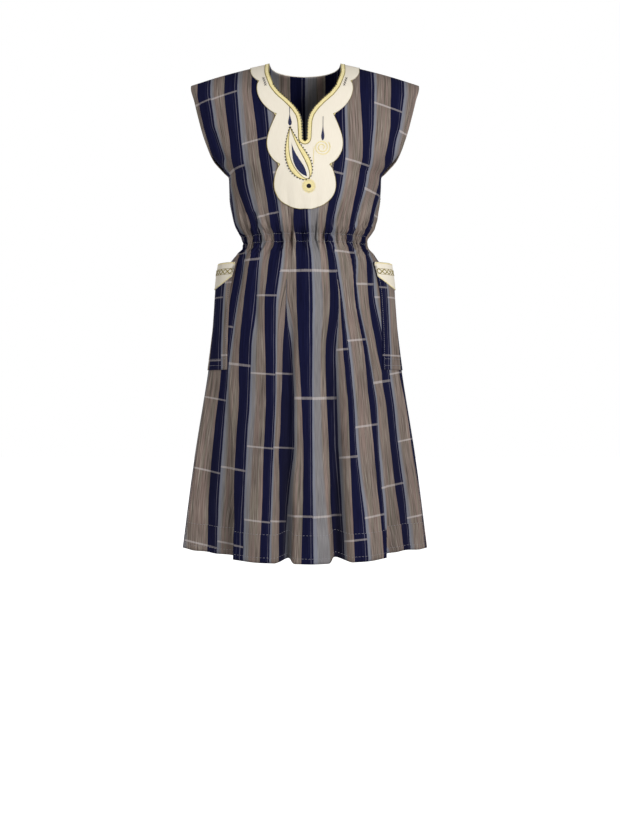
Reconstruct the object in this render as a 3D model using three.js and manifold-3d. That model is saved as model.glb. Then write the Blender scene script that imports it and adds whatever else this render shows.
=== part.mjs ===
// A sleeveless smock dress of strip-woven cloth, as it hangs on a wearer: a front and a back cut in one
// length from shoulder to hem, drawn in at the waist by elastic, with a scalloped yoke round a slit neck
// and a gaping patch pocket over each side seam. Every piece of cloth is a thin wall of its own.
// Millimetres: X across the dress, Y from front (-) to back (+), Z up from where the shoulders carry it.
import * as THREE from 'three';
import Module from 'manifold-3d';

// ---- cloth and seams ----
const CLOTH = 1.8;
const HEM_TURN = 1.2;
const SEAM_GAP = 0.3;
// Below this share of a half panel from a side seam, folds and gathers fade out.
const SEAM_CALM = 0.07;
const YOKE_CLOTH = 1.4;
const BINDING_CLOTH = 1.1;
const BINDING_WIDTH = 9.5;
const BINDING_CORNER = 0.72;
const TRIM_CLOTH = 1.3;

// ---- heights ----
const SLIT_FOOT_Z = -161;
const UNDERARM_Z = -217;
const WAIST_Z = -351;
const CASING = 18;
const POCKET_TOP_Z = -398;
const POCKET_FOOT_Z = -620;
const HEM_Z = -1016;
const HEM_SIDE_RISE = 24;
const HEM_SIDE_POWER = 2.4;
const HEM_LIFT = 0.32;
const HEM_FROM = 0.94;

// ---- shoulders ----
const NECK_HALF = 74;
const SHOULDER_TIP_X = 239;
const SHOULDER_NECK_Z = 22;
const SHOULDER_SLOPE = 0.2;
const SHOULDER_DROOP = 0.00043;
const SHOULDER_ROUNDING = 60;

// The level sections of the body of the dress. half: the panel edge's distance from the middle. turn: how
// far round its curve the panel reaches there, 1 at a side seam. front, back: depths from the side seams.
// square, edge: the curve's exponents, 2 and 0.5 for an ellipse; with edge over 1 the sides hang as flat
// wings.
const SECTIONS = [
  { z: 30, half: 239, turn: 0.93, front: 20, back: 36, square: 2, edge: 0.5 },
  { z: 0, half: 239, turn: 0.94, front: 52, back: 64, square: 2, edge: 0.5 },
  { z: -28, half: 239, turn: 0.945, front: 72, back: 82, square: 2, edge: 0.5 },
  { z: -60, half: 231, turn: 0.94, front: 88, back: 95, square: 2, edge: 0.5 },
  { z: -100, half: 221, turn: 0.92, front: 103, back: 106, square: 2, edge: 0.5 },
  { z: -142, half: 209, turn: 0.913, front: 116, back: 112, square: 2, edge: 0.5 },
  { z: -174, half: 195, turn: 0.935, front: 123, back: 113, square: 2.1, edge: 0.48 },
  { z: -200, half: 173, turn: 0.962, front: 126, back: 111, square: 2.2, edge: 0.45 },
  { z: UNDERARM_Z, half: 160, turn: 1, front: 126, back: 109, square: 2.3, edge: 0.44 },
  { z: -262, half: 158, turn: 1, front: 120, back: 103, square: 2.3, edge: 0.44 },
  { z: -300, half: 151, turn: 1, front: 112, back: 97, square: 2.2, edge: 0.45 },
  { z: -325, half: 142, turn: 1, front: 106, back: 92, square: 2.1, edge: 0.48 },
  { z: -342, half: 131, turn: 1, front: 98, back: 87, square: 2.1, edge: 0.48 },
  { z: WAIST_Z, half: 128, turn: 1, front: 96, back: 86, square: 2.1, edge: 0.48 },
  { z: -366, half: 130, turn: 1, front: 98, back: 89, square: 2.1, edge: 0.48 },
  { z: -380, half: 144, turn: 1, front: 104, back: 98, square: 2.1, edge: 0.48 },
  { z: POCKET_TOP_Z, half: 158, turn: 1, front: 109, back: 107, square: 2.1, edge: 0.48 },
  { z: -450, half: 176, turn: 1, front: 114, back: 118, square: 2.1, edge: 0.5 },
  { z: -500, half: 187, turn: 1, front: 116, back: 122, square: 2, edge: 0.56 },
  { z: POCKET_FOOT_Z, half: 203, turn: 1, front: 119, back: 125, square: 2, edge: 0.75 },
  { z: -816, half: 234, turn: 1, front: 122, back: 127, square: 2, edge: 1.05 },
  { z: HEM_Z - 10, half: 261, turn: 1, front: 126, back: 130, square: 2, edge: 1.22 },
];

// The edge of the neck, from the shoulder seam down to the foot of the slit.
const NECKLINE = [
  { x: NECK_HALF, z: SHOULDER_NECK_Z },
  { x: 74, z: -5 },
  { x: 70, z: -18 },
  { x: 63.5, z: -36 },
  { x: 52, z: -52 },
  { x: 34, z: -69 },
  { x: 19.5, z: -85 },
  { x: 10, z: -100 },
  { x: 5.5, z: -115 },
  { x: 4.2, z: -137 },
  { x: 3.6, z: -156 },
  { x: 0, z: SLIT_FOOT_Z },
];
const BACK_NECK_DROP = 16;
const BACK_NECK_SQUARE = 2.6;

// The scalloped outer edge of the front yoke, from the shoulder seam down to its tongue. Each row is the
// end of one scallop. swell: how far it stands out from the line between its ends. sag: over 1 if it is
// fullest in its lower part.
const YOKE_SCALLOPS = [
  { x: 114, z: SHOULDER_NECK_Z + 10, swell: 0, sag: 1 },
  { x: 113, z: 2, swell: 0, sag: 1 },
  { x: 94, z: -26, swell: 5, sag: 1 },
  { x: 58, z: -100, swell: 16.5, sag: 0.85 },
  { x: 50, z: -206, swell: 24, sag: 1.4 },
  { x: 0, z: -295, swell: 37, sag: 1 },
];
const SCALLOP_ROUNDNESS = 0.7;

// The back yoke: its edge runs from the shoulder seams to its depth below the back neck.
const BACK_YOKE = { shoulderX: 113, below: 4, depth: 46, roundness: 0.9 };

// Folds of the skirt, by panel. hem, waist: how far from the middle each runs. start: the height where it
// begins. depth: how far it sinks at the hem, or stands out if negative. left, right: its half widths.
const FOLDS = {
  front: [
    { hem: -39, waist: -33, start: -378, depth: 31, left: 24, right: 20 },
    { hem: 72, waist: 52, start: -366, depth: 33, left: 25, right: 27 },
    { hem: -157, waist: -170, start: -590, depth: 19, left: 74, right: 11 },
    { hem: 179, waist: 160, start: -590, depth: 18, left: 11, right: 66 },
    { hem: -97, waist: -66, start: -400, depth: -9, left: 46, right: 38 },
    { hem: 16, waist: 10, start: -400, depth: -8, left: 36, right: 36 },
    { hem: 124, waist: 84, start: -400, depth: -9, left: 36, right: 44 },
    { hem: -214, waist: -190, start: -640, depth: 7, left: 26, right: 28 },
    { hem: 222, waist: 190, start: -640, depth: 8, left: 27, right: 24 },
  ],
  back: [
    { hem: -88, waist: -42, start: -382, depth: 30, left: 27, right: 24 },
    { hem: 14, waist: 6, start: -390, depth: 32, left: 24, right: 25 },
    { hem: 103, waist: 54, start: -376, depth: 29, left: 25, right: 27 },
    { hem: -172, waist: -168, start: -590, depth: 18, left: 64, right: 12 },
    { hem: 165, waist: 172, start: -590, depth: 19, left: 12, right: 70 },
    { hem: -38, waist: -20, start: -400, depth: -8, left: 36, right: 34 },
    { hem: 58, waist: 30, start: -400, depth: -9, left: 34, right: 34 },
    { hem: -132, waist: -76, start: -400, depth: -8, left: 34, right: 36 },
    { hem: 138, waist: 82, start: -400, depth: -8, left: 30, right: 32 },
    { hem: 224, waist: 190, start: -640, depth: 7, left: 27, right: 25 },
    { hem: -218, waist: -190, start: -640, depth: 8, left: 24, right: 28 },
  ],
};
const FOLD_GROWTH = 0.8;

// The gathers that the elastic draws in at the waist.
const GATHERS = 16;
const GATHER_HEIGHT = 3.3;
const GATHER_REACH_UP = 38;
const GATHER_REACH_DOWN = 34;
// How far the gathers drift from even places, as a share of the half panel.
const GATHER_DRIFT = [
  { turns: 9, start: 1, size: 0.011 },
  { turns: 23, start: 0, size: 0.0066 },
];
// Where the gathers fade: a share of the half panel before the pocket, and heights above and below its top.
const GATHER_FADE = { beside: 0.1, above: 25, below: 90 };

// The pockets.
const POCKET_INNER = 20 / 28;
// The mouth hangs away from the skirt by depth at the side seam, and by less to half its width and footZ.
const GAPE = { depth: 21, half: 66, footZ: -540, fall: 1.7, roundness: 1.3 };
const TRIM = { half: 70, depth: 54, edgeDepth: 20, square: 2.6 };

// Rows and columns of the walls. Columns are counted over a half panel.
const TOP_ROWS = [0, 0.03, 0.1, 0.21, 0.36, 0.55, 0.78, 1];
const CHEST = { columns: 14, neckColumns: 4, levels: [SLIT_FOOT_Z, -182, -201, UNDERARM_Z] };
const BODICE = { columns: 18, levels: [-240, -268, -296, -316] };
const WAIST = { columns: 2 * GATHERS, levels: [-328, -340, WAIST_Z, -363, -378] };
const POCKET = { columns: 28, levels: [POCKET_TOP_Z, -426, -460, -506, -562, POCKET_FOOT_Z] };
const SKIRT = { columns: 28, shares: [0.18, 0.38, 0.6, 0.8, 0.94, 1] };
const SECTION_STEPS = 60;
const SECTION_LOOK = 0.01;
const EDGE_STEPS = { scallop: 9, neck: 20, back: 12, trim: 16 };

// How far the outlines that cut the yokes, bindings and trims reach past the cloth.
const PAST_EDGE = 30;
const PAST_CLOTH = 400;

// ---- curves ----

// A smooth function through a table's rows that never passes them: from the column key to the column value.
function smooth(table, key, value) {
  const rows = [...table].sort((p, q) => p[key] - q[key]);
  const at = rows.map((row) => row[key]);
  const to = rows.map((row) => row[value]);
  const rise = at.slice(1).map((x, i) => (to[i + 1] - to[i]) / (x - at[i]));
  const slope = at.map((_, i) => {
    if (i === 0) return rise[0];
    if (i === at.length - 1) return rise[i - 1];
    const [before, after] = [rise[i - 1], rise[i]];
    return before * after <= 0 ? 0 : (2 * before * after) / (before + after);
  });
  return (x) => {
    if (x <= at[0]) return to[0];
    const i = Math.min(at.findIndex((a) => a >= x) - 1, at.length - 2);
    if (i < 0) return to[to.length - 1];
    const step = at[i + 1] - at[i];
    const t = (x - at[i]) / step;
    const ends = to[i] * (1 + 2 * t) * (1 - t) ** 2 + to[i + 1] * t * t * (3 - 2 * t);
    return ends + step * (slope[i] * t * (1 - t) ** 2 - slope[i + 1] * t * t * (1 - t));
  };
}

const clamp01 = (t) => Math.min(1, Math.max(0, t));
const ease = (t) => clamp01(t) ** 2 * (3 - 2 * clamp01(t));
const mix = (a, b, t) => a + (b - a) * t;

const half = smooth(SECTIONS, 'z', 'half');
const turnTable = smooth(SECTIONS, 'z', 'turn');
const turn = (z) => (z <= UNDERARM_Z ? 1 : Math.min(1, turnTable(z)));
const square = smooth(SECTIONS, 'z', 'square');
const edge = smooth(SECTIONS, 'z', 'edge');
const depth = { front: smooth(SECTIONS, 'z', 'front'), back: smooth(SECTIONS, 'z', 'back') };
const facing = { front: -1, back: 1 };

// A line of points cut again at even shares of its own length.
function evenly(points, shares) {
  const run = [0];
  for (let i = 1; i < points.length; i++) {
    run.push(run[i - 1] + Math.hypot(points[i].x - points[i - 1].x, points[i].z - points[i - 1].z));
  }
  return shares.map((share) => {
    const want = share * run[run.length - 1];
    const i = Math.min(Math.max(run.findIndex((r) => r >= want), 1), points.length - 1);
    const t = (want - run[i - 1]) / (run[i] - run[i - 1]);
    return { x: mix(points[i - 1].x, points[i].x, t), z: mix(points[i - 1].z, points[i].z, t) };
  });
}

// ---- the form of the dress ----

// The height of the shoulder seam, and of its line carried on over the neck.
function shoulderZ(x) {
  const past = Math.abs(x) - NECK_HALF;
  return SHOULDER_NECK_Z - SHOULDER_SLOPE * past - SHOULDER_DROOP * Math.max(past, 0) ** 2;
}

// How far a panel stands from the plane of the side seams over a point of its upper part.
function swellAt(side, x, z) {
  const across = clamp01((Math.abs(x) * turn(z)) / half(z));
  const round = clamp01(Math.max(shoulderZ(x) - z, 0) / SHOULDER_ROUNDING);
  return depth[side](z) * (1 - across ** square(z)) ** edge(z) * Math.sqrt(1 - (1 - round) ** 2);
}

function upperPoint(side, x, z) {
  const out = swellAt(side, x, z) + SEAM_GAP / 2;
  return new THREE.Vector3(x, facing[side] * out, z);
}

// The level curve of a panel at a height, as a function from the share g of the half panel to a point and
// the way out of the cloth there.
function levelCurve(side, z) {
  const [n, reach, deep] = [square(z), half(z) / turn(z), depth[side](z)];
  const end = Math.asin(turn(z));
  const points = [];
  for (let i = 0; i <= SECTION_STEPS; i++) {
    const across = Math.sin((end * i) / SECTION_STEPS);
    points.push({ x: reach * across, z: deep * Math.max(0, 1 - across ** n) ** edge(z) });
  }
  return (g) => {
    const share = Math.abs(g);
    const [p, before, after] = evenly(points, [share, Math.max(0, share - SECTION_LOOK), Math.min(1, share + SECTION_LOOK)]);
    const along = new THREE.Vector2(after.x - before.x, after.z - before.z).normalize();
    const flip = Math.sign(g) || 1;
    return { x: flip * p.x, y: p.z, outX: -flip * along.y, outY: g === 0 ? 1 : along.x };
  };
}

// How strongly the elastic gathers the cloth at a height, 1 over the casing.
function gatherShare(g, z) {
  const above = z - (WAIST_Z + CASING / 2);
  const below = WAIST_Z - CASING / 2 - z;
  const faded = above > 0 ? Math.exp(-above / GATHER_REACH_UP) : Math.exp(-Math.max(below, 0) / GATHER_REACH_DOWN);
  const beside = ease((POCKET_INNER - Math.abs(g)) / GATHER_FADE.beside);
  const over = ease((z - POCKET_TOP_Z) / GATHER_FADE.above);
  return faded * clamp01(beside + over) * ease((z - POCKET_TOP_Z) / GATHER_FADE.below + 1);
}

// The share at which the gather numbered k turns, a peak or a dip for each whole number.
const gatherTurn = (k) => {
  const even = k / (2 * GATHERS) - 1;
  const drift = GATHER_DRIFT.reduce((sum, d) => sum + d.size * Math.sin(d.turns * even + d.start), 0);
  return even + drift * (1 - even * even);
};

function gatherWave(g) {
  let k = Math.round((g + 1) * 2 * GATHERS);
  while (k > 0 && gatherTurn(k) > g) k--;
  while (k < 4 * GATHERS - 1 && gatherTurn(k + 1) <= g) k++;
  const t = clamp01((g - gatherTurn(k)) / (gatherTurn(k + 1) - gatherTurn(k)));
  return Math.sin((Math.PI / 2) * (k + t));
}

// How far a fold sinks the cloth at a distance x from the middle.
function foldDepth(fold, x, z) {
  const grown = clamp01((fold.start - z) / (fold.start - HEM_Z)) ** FOLD_GROWTH;
  const middle = mix(fold.waist, fold.hem, ease((WAIST_Z - z) / (WAIST_Z - HEM_Z)));
  const width = x < middle ? fold.left : fold.right;
  const t = Math.min(1, Math.abs(x - middle) / width);
  return (fold.depth * grown * (1 + Math.cos(Math.PI * t))) / 2;
}

const foldsDepth = (side, x, z) => FOLDS[side].reduce((sum, fold) => sum + foldDepth(fold, x, z), 0);
const seamEase = (g) => ease((1 - Math.abs(g)) / SEAM_CALM);

function standOut(side, g, x, z) {
  return (GATHER_HEIGHT * gatherShare(g, z) * gatherWave(g) - foldsDepth(side, x, z)) * seamEase(g);
}

function hemZ(side, g) {
  const valley = Math.max(0, foldsDepth(side, levelCurve(side, HEM_Z)(g).x, HEM_Z));
  return HEM_Z + HEM_SIDE_RISE * Math.abs(g) ** HEM_SIDE_POWER + HEM_LIFT * valley * seamEase(g);
}

// A point of a panel's outer face below the slit.
function lowerPoint(side, g, z, curve = levelCurve(side, z)) {
  const p = curve(g);
  const out = standOut(side, g, p.x, z);
  return new THREE.Vector3(p.x + out * p.outX, facing[side] * (p.y + out * p.outY + SEAM_GAP / 2), z);
}

// ---- walls ----

// A sheet of cloth as points and triangles, seen from outside. A seam point's wall is cut square to Y.
class Sheet {
  constructor() {
    this.points = [];
    this.triangles = [];
    this.numbers = new Map();
  }

  // The number of a point. seam: it lies on a seam. turned: the cloth is turned up there.
  add(point, { seam = false, turned = 0 } = {}) {
    const key = point.toArray().map((v) => Math.round(v * 1000)).join();
    if (!this.numbers.has(key)) {
      this.numbers.set(key, this.points.length);
      this.points.push({ at: point.clone(), seam, turned });
    }
    return this.numbers.get(key);
  }

  triangle(a, b, c) {
    if (a !== b && b !== c && c !== a) this.triangles.push([a, b, c]);
  }

  // Joins two rows that run the same way, the upper one first; they may hold different numbers of points.
  join(upper, lower) {
    let [i, j] = [0, 0];
    while (i < upper.length - 1 || j < lower.length - 1) {
      const nextUpper = (i + 1) / (upper.length - 1);
      const nextLower = (j + 1) / (lower.length - 1);
      if (j === lower.length - 1 || (i < upper.length - 1 && nextUpper <= nextLower)) {
        this.triangle(upper[i], lower[j], upper[i + 1]);
        i++;
      } else {
        this.triangle(upper[i], lower[j], lower[j + 1]);
        j++;
      }
    }
  }

  // Turns over the triangles from a number on.
  turnOver(first) {
    this.triangles = this.triangles.map(([a, b, c], i) => (i < first ? [a, b, c] : [c, b, a]));
  }

  // Which way the cloth faces at each point.
  normals() {
    const ways = this.points.map(() => new THREE.Vector3());
    for (const corners of this.triangles) {
      const [a, b, c] = corners.map((i) => this.points[i].at);
      corners.forEach((i, k) => {
        const [p, q, r] = [[a, b, c], [b, c, a], [c, a, b]][k];
        const [u, v] = [q.clone().sub(p), r.clone().sub(p)];
        ways[i].add(u.clone().cross(v).normalize().multiplyScalar(u.angleTo(v)));
      });
    }
    return ways.map((way, i) => (this.points[i].seam ? way.setY(0) : way).normalize());
  }

  // The closed wall between two distances out from the sheet. gape: how far it hangs out level from there.
  wall(from, to, gape = () => 0) {
    const ways = this.normals();
    const face = (out, turned) =>
      this.points.map((p, i) => {
        const level = ways[i].clone().setZ(0).normalize();
        const at = p.at.clone().addScaledVector(ways[i], out - (turned ? p.turned : 0));
        return at.addScaledVector(level, gape(p.at));
      });
    const count = this.points.length;
    const corners = [...face(to, false), ...face(from, true)];
    const faces = this.triangles.flatMap(([a, b, c]) => [[a, b, c], [c + count, b + count, a + count]]);
    const edges = new Set(this.triangles.flatMap(([a, b, c]) => [`${a} ${b}`, `${b} ${c}`, `${c} ${a}`]));
    for (const edge of edges) {
      const [a, b] = edge.split(' ').map(Number);
      if (edges.has(`${b} ${a}`)) continue;
      faces.push([b, a, a + count], [b, a + count, b + count]);
    }
    return solid(corners, faces);
  }
}

const wasm = await Module();
wasm.setup();

function solid(corners, faces) {
  const vertProperties = new Float32Array(corners.flatMap((p) => p.toArray()));
  const triVerts = new Uint32Array(faces.flat());
  return new wasm.Manifold(new wasm.Mesh({ numProp: 3, vertProperties, triVerts }));
}

// The solid swept by a flat outline, given as [u, z] pairs, along Y or along X.
function prism(outline, axis, from, to) {
  const swept = new wasm.CrossSection([outline], 'EvenOdd').extrude(to - from);
  if (axis === 'y') return swept.rotate([90, 0, 0]).translate([0, to, 0]);
  return swept.rotate([90, 0, 90]).translate([from, 0, 0]);
}

function meshOf(made, name, material) {
  const { vertProperties, triVerts } = made.getMesh();
  const geometry = new THREE.BufferGeometry();
  geometry.setAttribute('position', new THREE.BufferAttribute(new Float32Array(vertProperties), 3));
  geometry.setIndex(new THREE.BufferAttribute(new Uint32Array(triVerts), 1));
  geometry.computeVertexNormals();
  const mesh = new THREE.Mesh(geometry, material);
  mesh.name = name;
  return mesh;
}

// ---- the two panels ----

const shares = (columns) => Array.from({ length: 2 * columns + 1 }, (_, i) => i / columns - 1);
const gatherShares = Array.from({ length: 4 * GATHERS + 1 }, (_, k) => gatherTurn(k));

// A row of a panel at a height: the numbers of its points, from the -X edge to the +X edge.
function levelRow(sheet, side, z, gs) {
  const curve = levelCurve(side, z);
  return gs.map((g) => sheet.add(lowerPoint(side, g, z, curve), { seam: Math.abs(g) === 1 && z <= UNDERARM_Z }));
}

// The rows from the foot of the slit down to a level, no lower than the pockets' foot.
function upperRows(sheet, side, lowest) {
  const rows = [];
  for (const zone of [CHEST, BODICE, WAIST, POCKET]) {
    const gs = zone === WAIST ? gatherShares : shares(zone.columns);
    for (const z of zone.levels) if (z >= lowest) rows.push(levelRow(sheet, side, z, gs));
  }
  return rows;
}

// The rows from below the pockets down to the hem.
function skirtRows(sheet, side) {
  return SKIRT.shares.map((share) =>
    shares(SKIRT.columns).map((g) => {
      const z = mix(POCKET_FOOT_Z, hemZ(side, g), share);
      const turned = share >= HEM_FROM ? HEM_TURN : 0;
      return sheet.add(lowerPoint(side, g, z), { seam: Math.abs(g) === 1, turned });
    }),
  );
}

// Half of the front above the foot of the slit, from the neckline (first) to the armhole (last).
function frontTopHalf(sheet, flip) {
  const gs = shares(CHEST.columns).filter((g) => g >= 0);
  const curve = levelCurve('front', SLIT_FOOT_Z);
  const foot = gs.map((g) => ({ x: curve(g).x, z: SLIT_FOOT_Z }));
  const neck = evenly(NECKLINE, TOP_ROWS);
  const armholeFrom = { x: SHOULDER_TIP_X, z: shoulderZ(SHOULDER_TIP_X) };
  const last = foot[foot.length - 1];
  return TOP_ROWS.map((t, row) => {
    const armZ = mix(armholeFrom.z, SLIT_FOOT_Z, t);
    const arm = { x: half(armZ), z: armZ };
    return gs.map((c, i) => {
      if (t === 1) return sheet.add(lowerPoint('front', flip * c, SLIT_FOOT_Z, curve));
      const seamX = mix(NECK_HALF, SHOULDER_TIP_X, c);
      const seam = { x: seamX, z: shoulderZ(seamX) };
      const blend = (k) =>
        mix(seam[k], foot[i][k], t) + mix(neck[row][k], arm[k], c) -
        mix(mix(NECKLINE[0][k], armholeFrom[k], c), mix(foot[0][k], last[k], c), t);
      return sheet.add(upperPoint('front', flip * blend('x'), blend('z')), { seam: row === 0 });
    });
  });
}

function frontTop(sheet) {
  const [right, left] = [frontTopHalf(sheet, 1), frontTopHalf(sheet, -1)];
  for (let row = 1; row < TOP_ROWS.length; row++) {
    sheet.join(right[row - 1], right[row]);
    sheet.join([...left[row - 1]].reverse(), [...left[row]].reverse());
  }
}

const backNeckZ = (x) => {
  const share = clamp01(Math.abs(x) / NECK_HALF);
  return SHOULDER_NECK_Z - BACK_NECK_DROP * Math.sqrt(1 - share ** BACK_NECK_SQUARE);
};

function backTop(sheet) {
  const gs = shares(CHEST.columns);
  const curve = levelCurve('back', SLIT_FOOT_Z);
  const neckShare = CHEST.neckColumns / CHEST.columns;
  const rows = TOP_ROWS.map((t, row) =>
    gs.map((g) => {
      if (t === 1) return sheet.add(lowerPoint('back', g, SLIT_FOOT_Z, curve));
      const beyond = (Math.abs(g) - neckShare) / (1 - neckShare);
      const alongTop = beyond > 0 ? mix(NECK_HALF, SHOULDER_TIP_X, beyond) : (NECK_HALF * Math.abs(g)) / neckShare;
      const seamX = Math.sign(g) * alongTop;
      const topZ = beyond >= 0 ? shoulderZ(seamX) : backNeckZ(seamX);
      const z = mix(topZ, SLIT_FOOT_Z, t);
      const even = mix(seamX, curve(g).x, ease(t));
      const x = Math.abs(g) === 1 ? Math.sign(g) * half(z) : even;
      return sheet.add(upperPoint('back', x, z), { seam: row === 0 && beyond >= 0 });
    }),
  );
  for (let row = 1; row < rows.length; row++) sheet.join(rows[row - 1], rows[row]);
}

// The cloth of a panel down to the lowest level, or to the hem.
function panelSheet(side, lowest = -Infinity) {
  const sheet = new Sheet();
  if (side === 'front') frontTop(sheet);
  else backTop(sheet);
  const rows = upperRows(sheet, side, lowest);
  if (lowest === -Infinity) rows.push(...skirtRows(sheet, side));
  for (let i = 1; i < rows.length; i++) sheet.join(rows[i - 1], rows[i]);
  if (side === 'back') sheet.turnOver(0);
  return sheet;
}

// ---- yokes and bindings, laid on the panels ----

// An outline and its mirror image; the last point lies on the middle.
const bothHalves = (right) => [...right, ...right.slice(0, -1).reverse().map(([x, z]) => [-x, z])];
const evenShares = (steps) => Array.from({ length: steps + 1 }, (_, i) => i / steps);

// The front yoke's edge: every scallop is an arc that swells to the side.
function yokeOutline() {
  const edge = [[YOKE_SCALLOPS[0].x, YOKE_SCALLOPS[0].z]];
  for (let i = 1; i < YOKE_SCALLOPS.length; i++) {
    const [from, to] = [YOKE_SCALLOPS[i - 1], YOKE_SCALLOPS[i]];
    const long = Math.hypot(to.x - from.x, to.z - from.z);
    const [outX, outZ] = [(from.z - to.z) / long, (to.x - from.x) / long];
    const steps = to.swell ? EDGE_STEPS.scallop : 1;
    for (let k = 1; k <= steps; k++) {
      const t = k / steps;
      const swell = to.swell * Math.sin(Math.PI * t ** to.sag) ** SCALLOP_ROUNDNESS;
      edge.push([mix(from.x, to.x, t) + swell * outX, mix(from.z, to.z, t) + swell * outZ]);
    }
  }
  return bothHalves(edge);
}

// A band of one width round the neckline, closed across the top, well outside the cloth.
function bindingOutline() {
  const neck = evenly(NECKLINE, evenShares(EDGE_STEPS.neck));
  const outer = neck.map((p, i) => {
    const [before, after] = [neck[Math.max(0, i - 1)], neck[Math.min(neck.length - 1, i + 1)]];
    const long = Math.hypot(after.x - before.x, after.z - before.z);
    const [dx, dz] = [(after.x - before.x) / long, (after.z - before.z) / long];
    return [Math.max(0, p.x - dz * BINDING_WIDTH), p.z + dx * BINDING_WIDTH];
  });
  const side = outer.filter(([x]) => x > BINDING_WIDTH / 2);
  const top = [side[0][0], SHOULDER_NECK_Z + PAST_EDGE];
  const corner = [BINDING_WIDTH * BINDING_CORNER, SLIT_FOOT_Z - BINDING_WIDTH * BINDING_CORNER];
  return bothHalves([top, ...side, corner, [0, SLIT_FOOT_Z - BINDING_WIDTH]]);
}

function backYokeOutline() {
  const { shoulderX, below, depth: deep, roundness } = BACK_YOKE;
  const edge = evenShares(EDGE_STEPS.back).map((t) => {
    const angle = (Math.PI / 2) * t;
    const drop = (deep + BACK_NECK_DROP) * Math.sin(angle) ** roundness;
    return [shoulderX * Math.cos(angle), shoulderZ(shoulderX) - below - drop];
  });
  return bothHalves([[shoulderX, SHOULDER_NECK_Z + PAST_EDGE], ...edge]);
}

function backBindingOutline() {
  const edge = evenShares(EDGE_STEPS.back).map((t) => {
    const angle = (Math.PI / 2) * t;
    const x = NECK_HALF * Math.cos(angle);
    return [x + BINDING_WIDTH * Math.cos(angle), backNeckZ(x) - BINDING_WIDTH * Math.sin(angle)];
  });
  return bothHalves([[edge[0][0], SHOULDER_NECK_Z + PAST_EDGE], ...edge]);
}

const YOKE_FROM = SEAM_GAP;
const YOKE_TO = YOKE_FROM + YOKE_CLOTH;
const BINDING_FROM = YOKE_TO + SEAM_GAP;
const BINDING_TO = BINDING_FROM + BINDING_CLOTH;
const upperFront = panelSheet('front', BODICE.levels[2]);
const upperBack = panelSheet('back', CHEST.levels[1]);
// A piece cut by an outline from cloth that lies over a panel, between two distances out from it.
function laidOn(sheet, side, from, to, outline) {
  const [near, far] = side === 'front' ? [-PAST_CLOTH, 0] : [0, PAST_CLOTH];
  return sheet.wall(from, to).intersect(prism(outline, 'y', near, far));
}

// ---- pockets ----

// A pocket's cloth: the panels' own points and triangles beside a side seam, the two panels joined there.
function pocketSheet(flip) {
  const sheet = new Sheet();
  const gs = shares(POCKET.columns).filter((g) => g * flip >= POCKET_INNER - 0.001);
  for (const side of ['front', 'back']) {
    const first = sheet.triangles.length;
    const rows = POCKET.levels.map((z) => {
      const curve = levelCurve(side, z);
      const edge = new THREE.Vector3(flip * half(z), 0, z);
      return gs.map((g) => sheet.add(Math.abs(g) === 1 ? edge : lowerPoint(side, g, z, curve)));
    });
    for (let i = 1; i < rows.length; i++) sheet.join(rows[i - 1], rows[i]);
    if (side === 'back') sheet.turnOver(first);
  }
  return sheet;
}

// How far the pocket's mouth hangs away from the skirt.
function mouthGape(point) {
  const down = clamp01((point.z - GAPE.footZ) / (POCKET_TOP_Z - GAPE.footZ));
  const across = clamp01(Math.abs(point.y) / GAPE.half);
  return GAPE.depth * down ** GAPE.fall * Math.cos((Math.PI / 2) * across) ** GAPE.roundness;
}

function trimOutline() {
  const edge = evenShares(EDGE_STEPS.trim).map((share) => {
    const t = 2 * share - 1;
    const deep = mix(TRIM.edgeDepth, TRIM.depth, 1 - Math.abs(t) ** TRIM.square);
    return [TRIM.half * t, POCKET_TOP_Z - deep];
  });
  return [[-TRIM.half, POCKET_TOP_Z + PAST_EDGE], ...edge, [TRIM.half, POCKET_TOP_Z + PAST_EDGE]];
}

// ---- the dress ----

const striped = new THREE.MeshStandardMaterial({ color: 0x4a4a5c, roughness: 0.9, metalness: 0 });
const cream = new THREE.MeshStandardMaterial({ color: 0xeee3cc, roughness: 0.85, metalness: 0 });
const gold = new THREE.MeshStandardMaterial({ color: 0xe6cf7a, roughness: 0.6, metalness: 0 });

const dress = new THREE.Group();
for (const side of ['front', 'back']) {
  dress.add(meshOf(panelSheet(side).wall(-CLOTH, 0), `${side}_panel`, striped));
}
dress.add(
  meshOf(laidOn(upperFront, 'front', YOKE_FROM, YOKE_TO, yokeOutline()), 'front_yoke', cream),
  meshOf(laidOn(upperBack, 'back', YOKE_FROM, YOKE_TO, backYokeOutline()), 'back_yoke', cream),
  meshOf(laidOn(upperFront, 'front', BINDING_FROM, BINDING_TO, bindingOutline()), 'front_neck_binding', gold),
  meshOf(laidOn(upperBack, 'back', BINDING_FROM, BINDING_TO, backBindingOutline()), 'back_neck_binding', gold),
);
for (const [name, flip] of [['left', 1], ['right', -1]]) {
  const cloth = pocketSheet(flip);
  const pocketTo = SEAM_GAP + CLOTH;
  const pocket = cloth.wall(SEAM_GAP, pocketTo, mouthGape);
  const trim = cloth.wall(pocketTo + SEAM_GAP, pocketTo + SEAM_GAP + TRIM_CLOTH, mouthGape);
  const [near, far] = flip > 0 ? [0, PAST_CLOTH] : [-PAST_CLOTH, 0];
  dress.add(
    meshOf(pocket, `${name}_pocket`, striped),
    meshOf(trim.intersect(prism(trimOutline(), 'x', near, far)), `${name}_pocket_trim`, cream),
  );
}

export default dress;
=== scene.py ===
"""Finishes a sleeveless smock dress: its strip-woven cloth, yokes, braid, embroidery, pockets and stitching.

Sizes in the tables are millimetres: X to the wearer's left, Y from front (-) to back (+), Z up.
"""

import functools

import bpy
import numpy as np
from bpy.props import FloatProperty, FloatVectorProperty, PointerProperty
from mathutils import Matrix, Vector, noise
from mathutils.bvhtree import BVHTree


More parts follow.
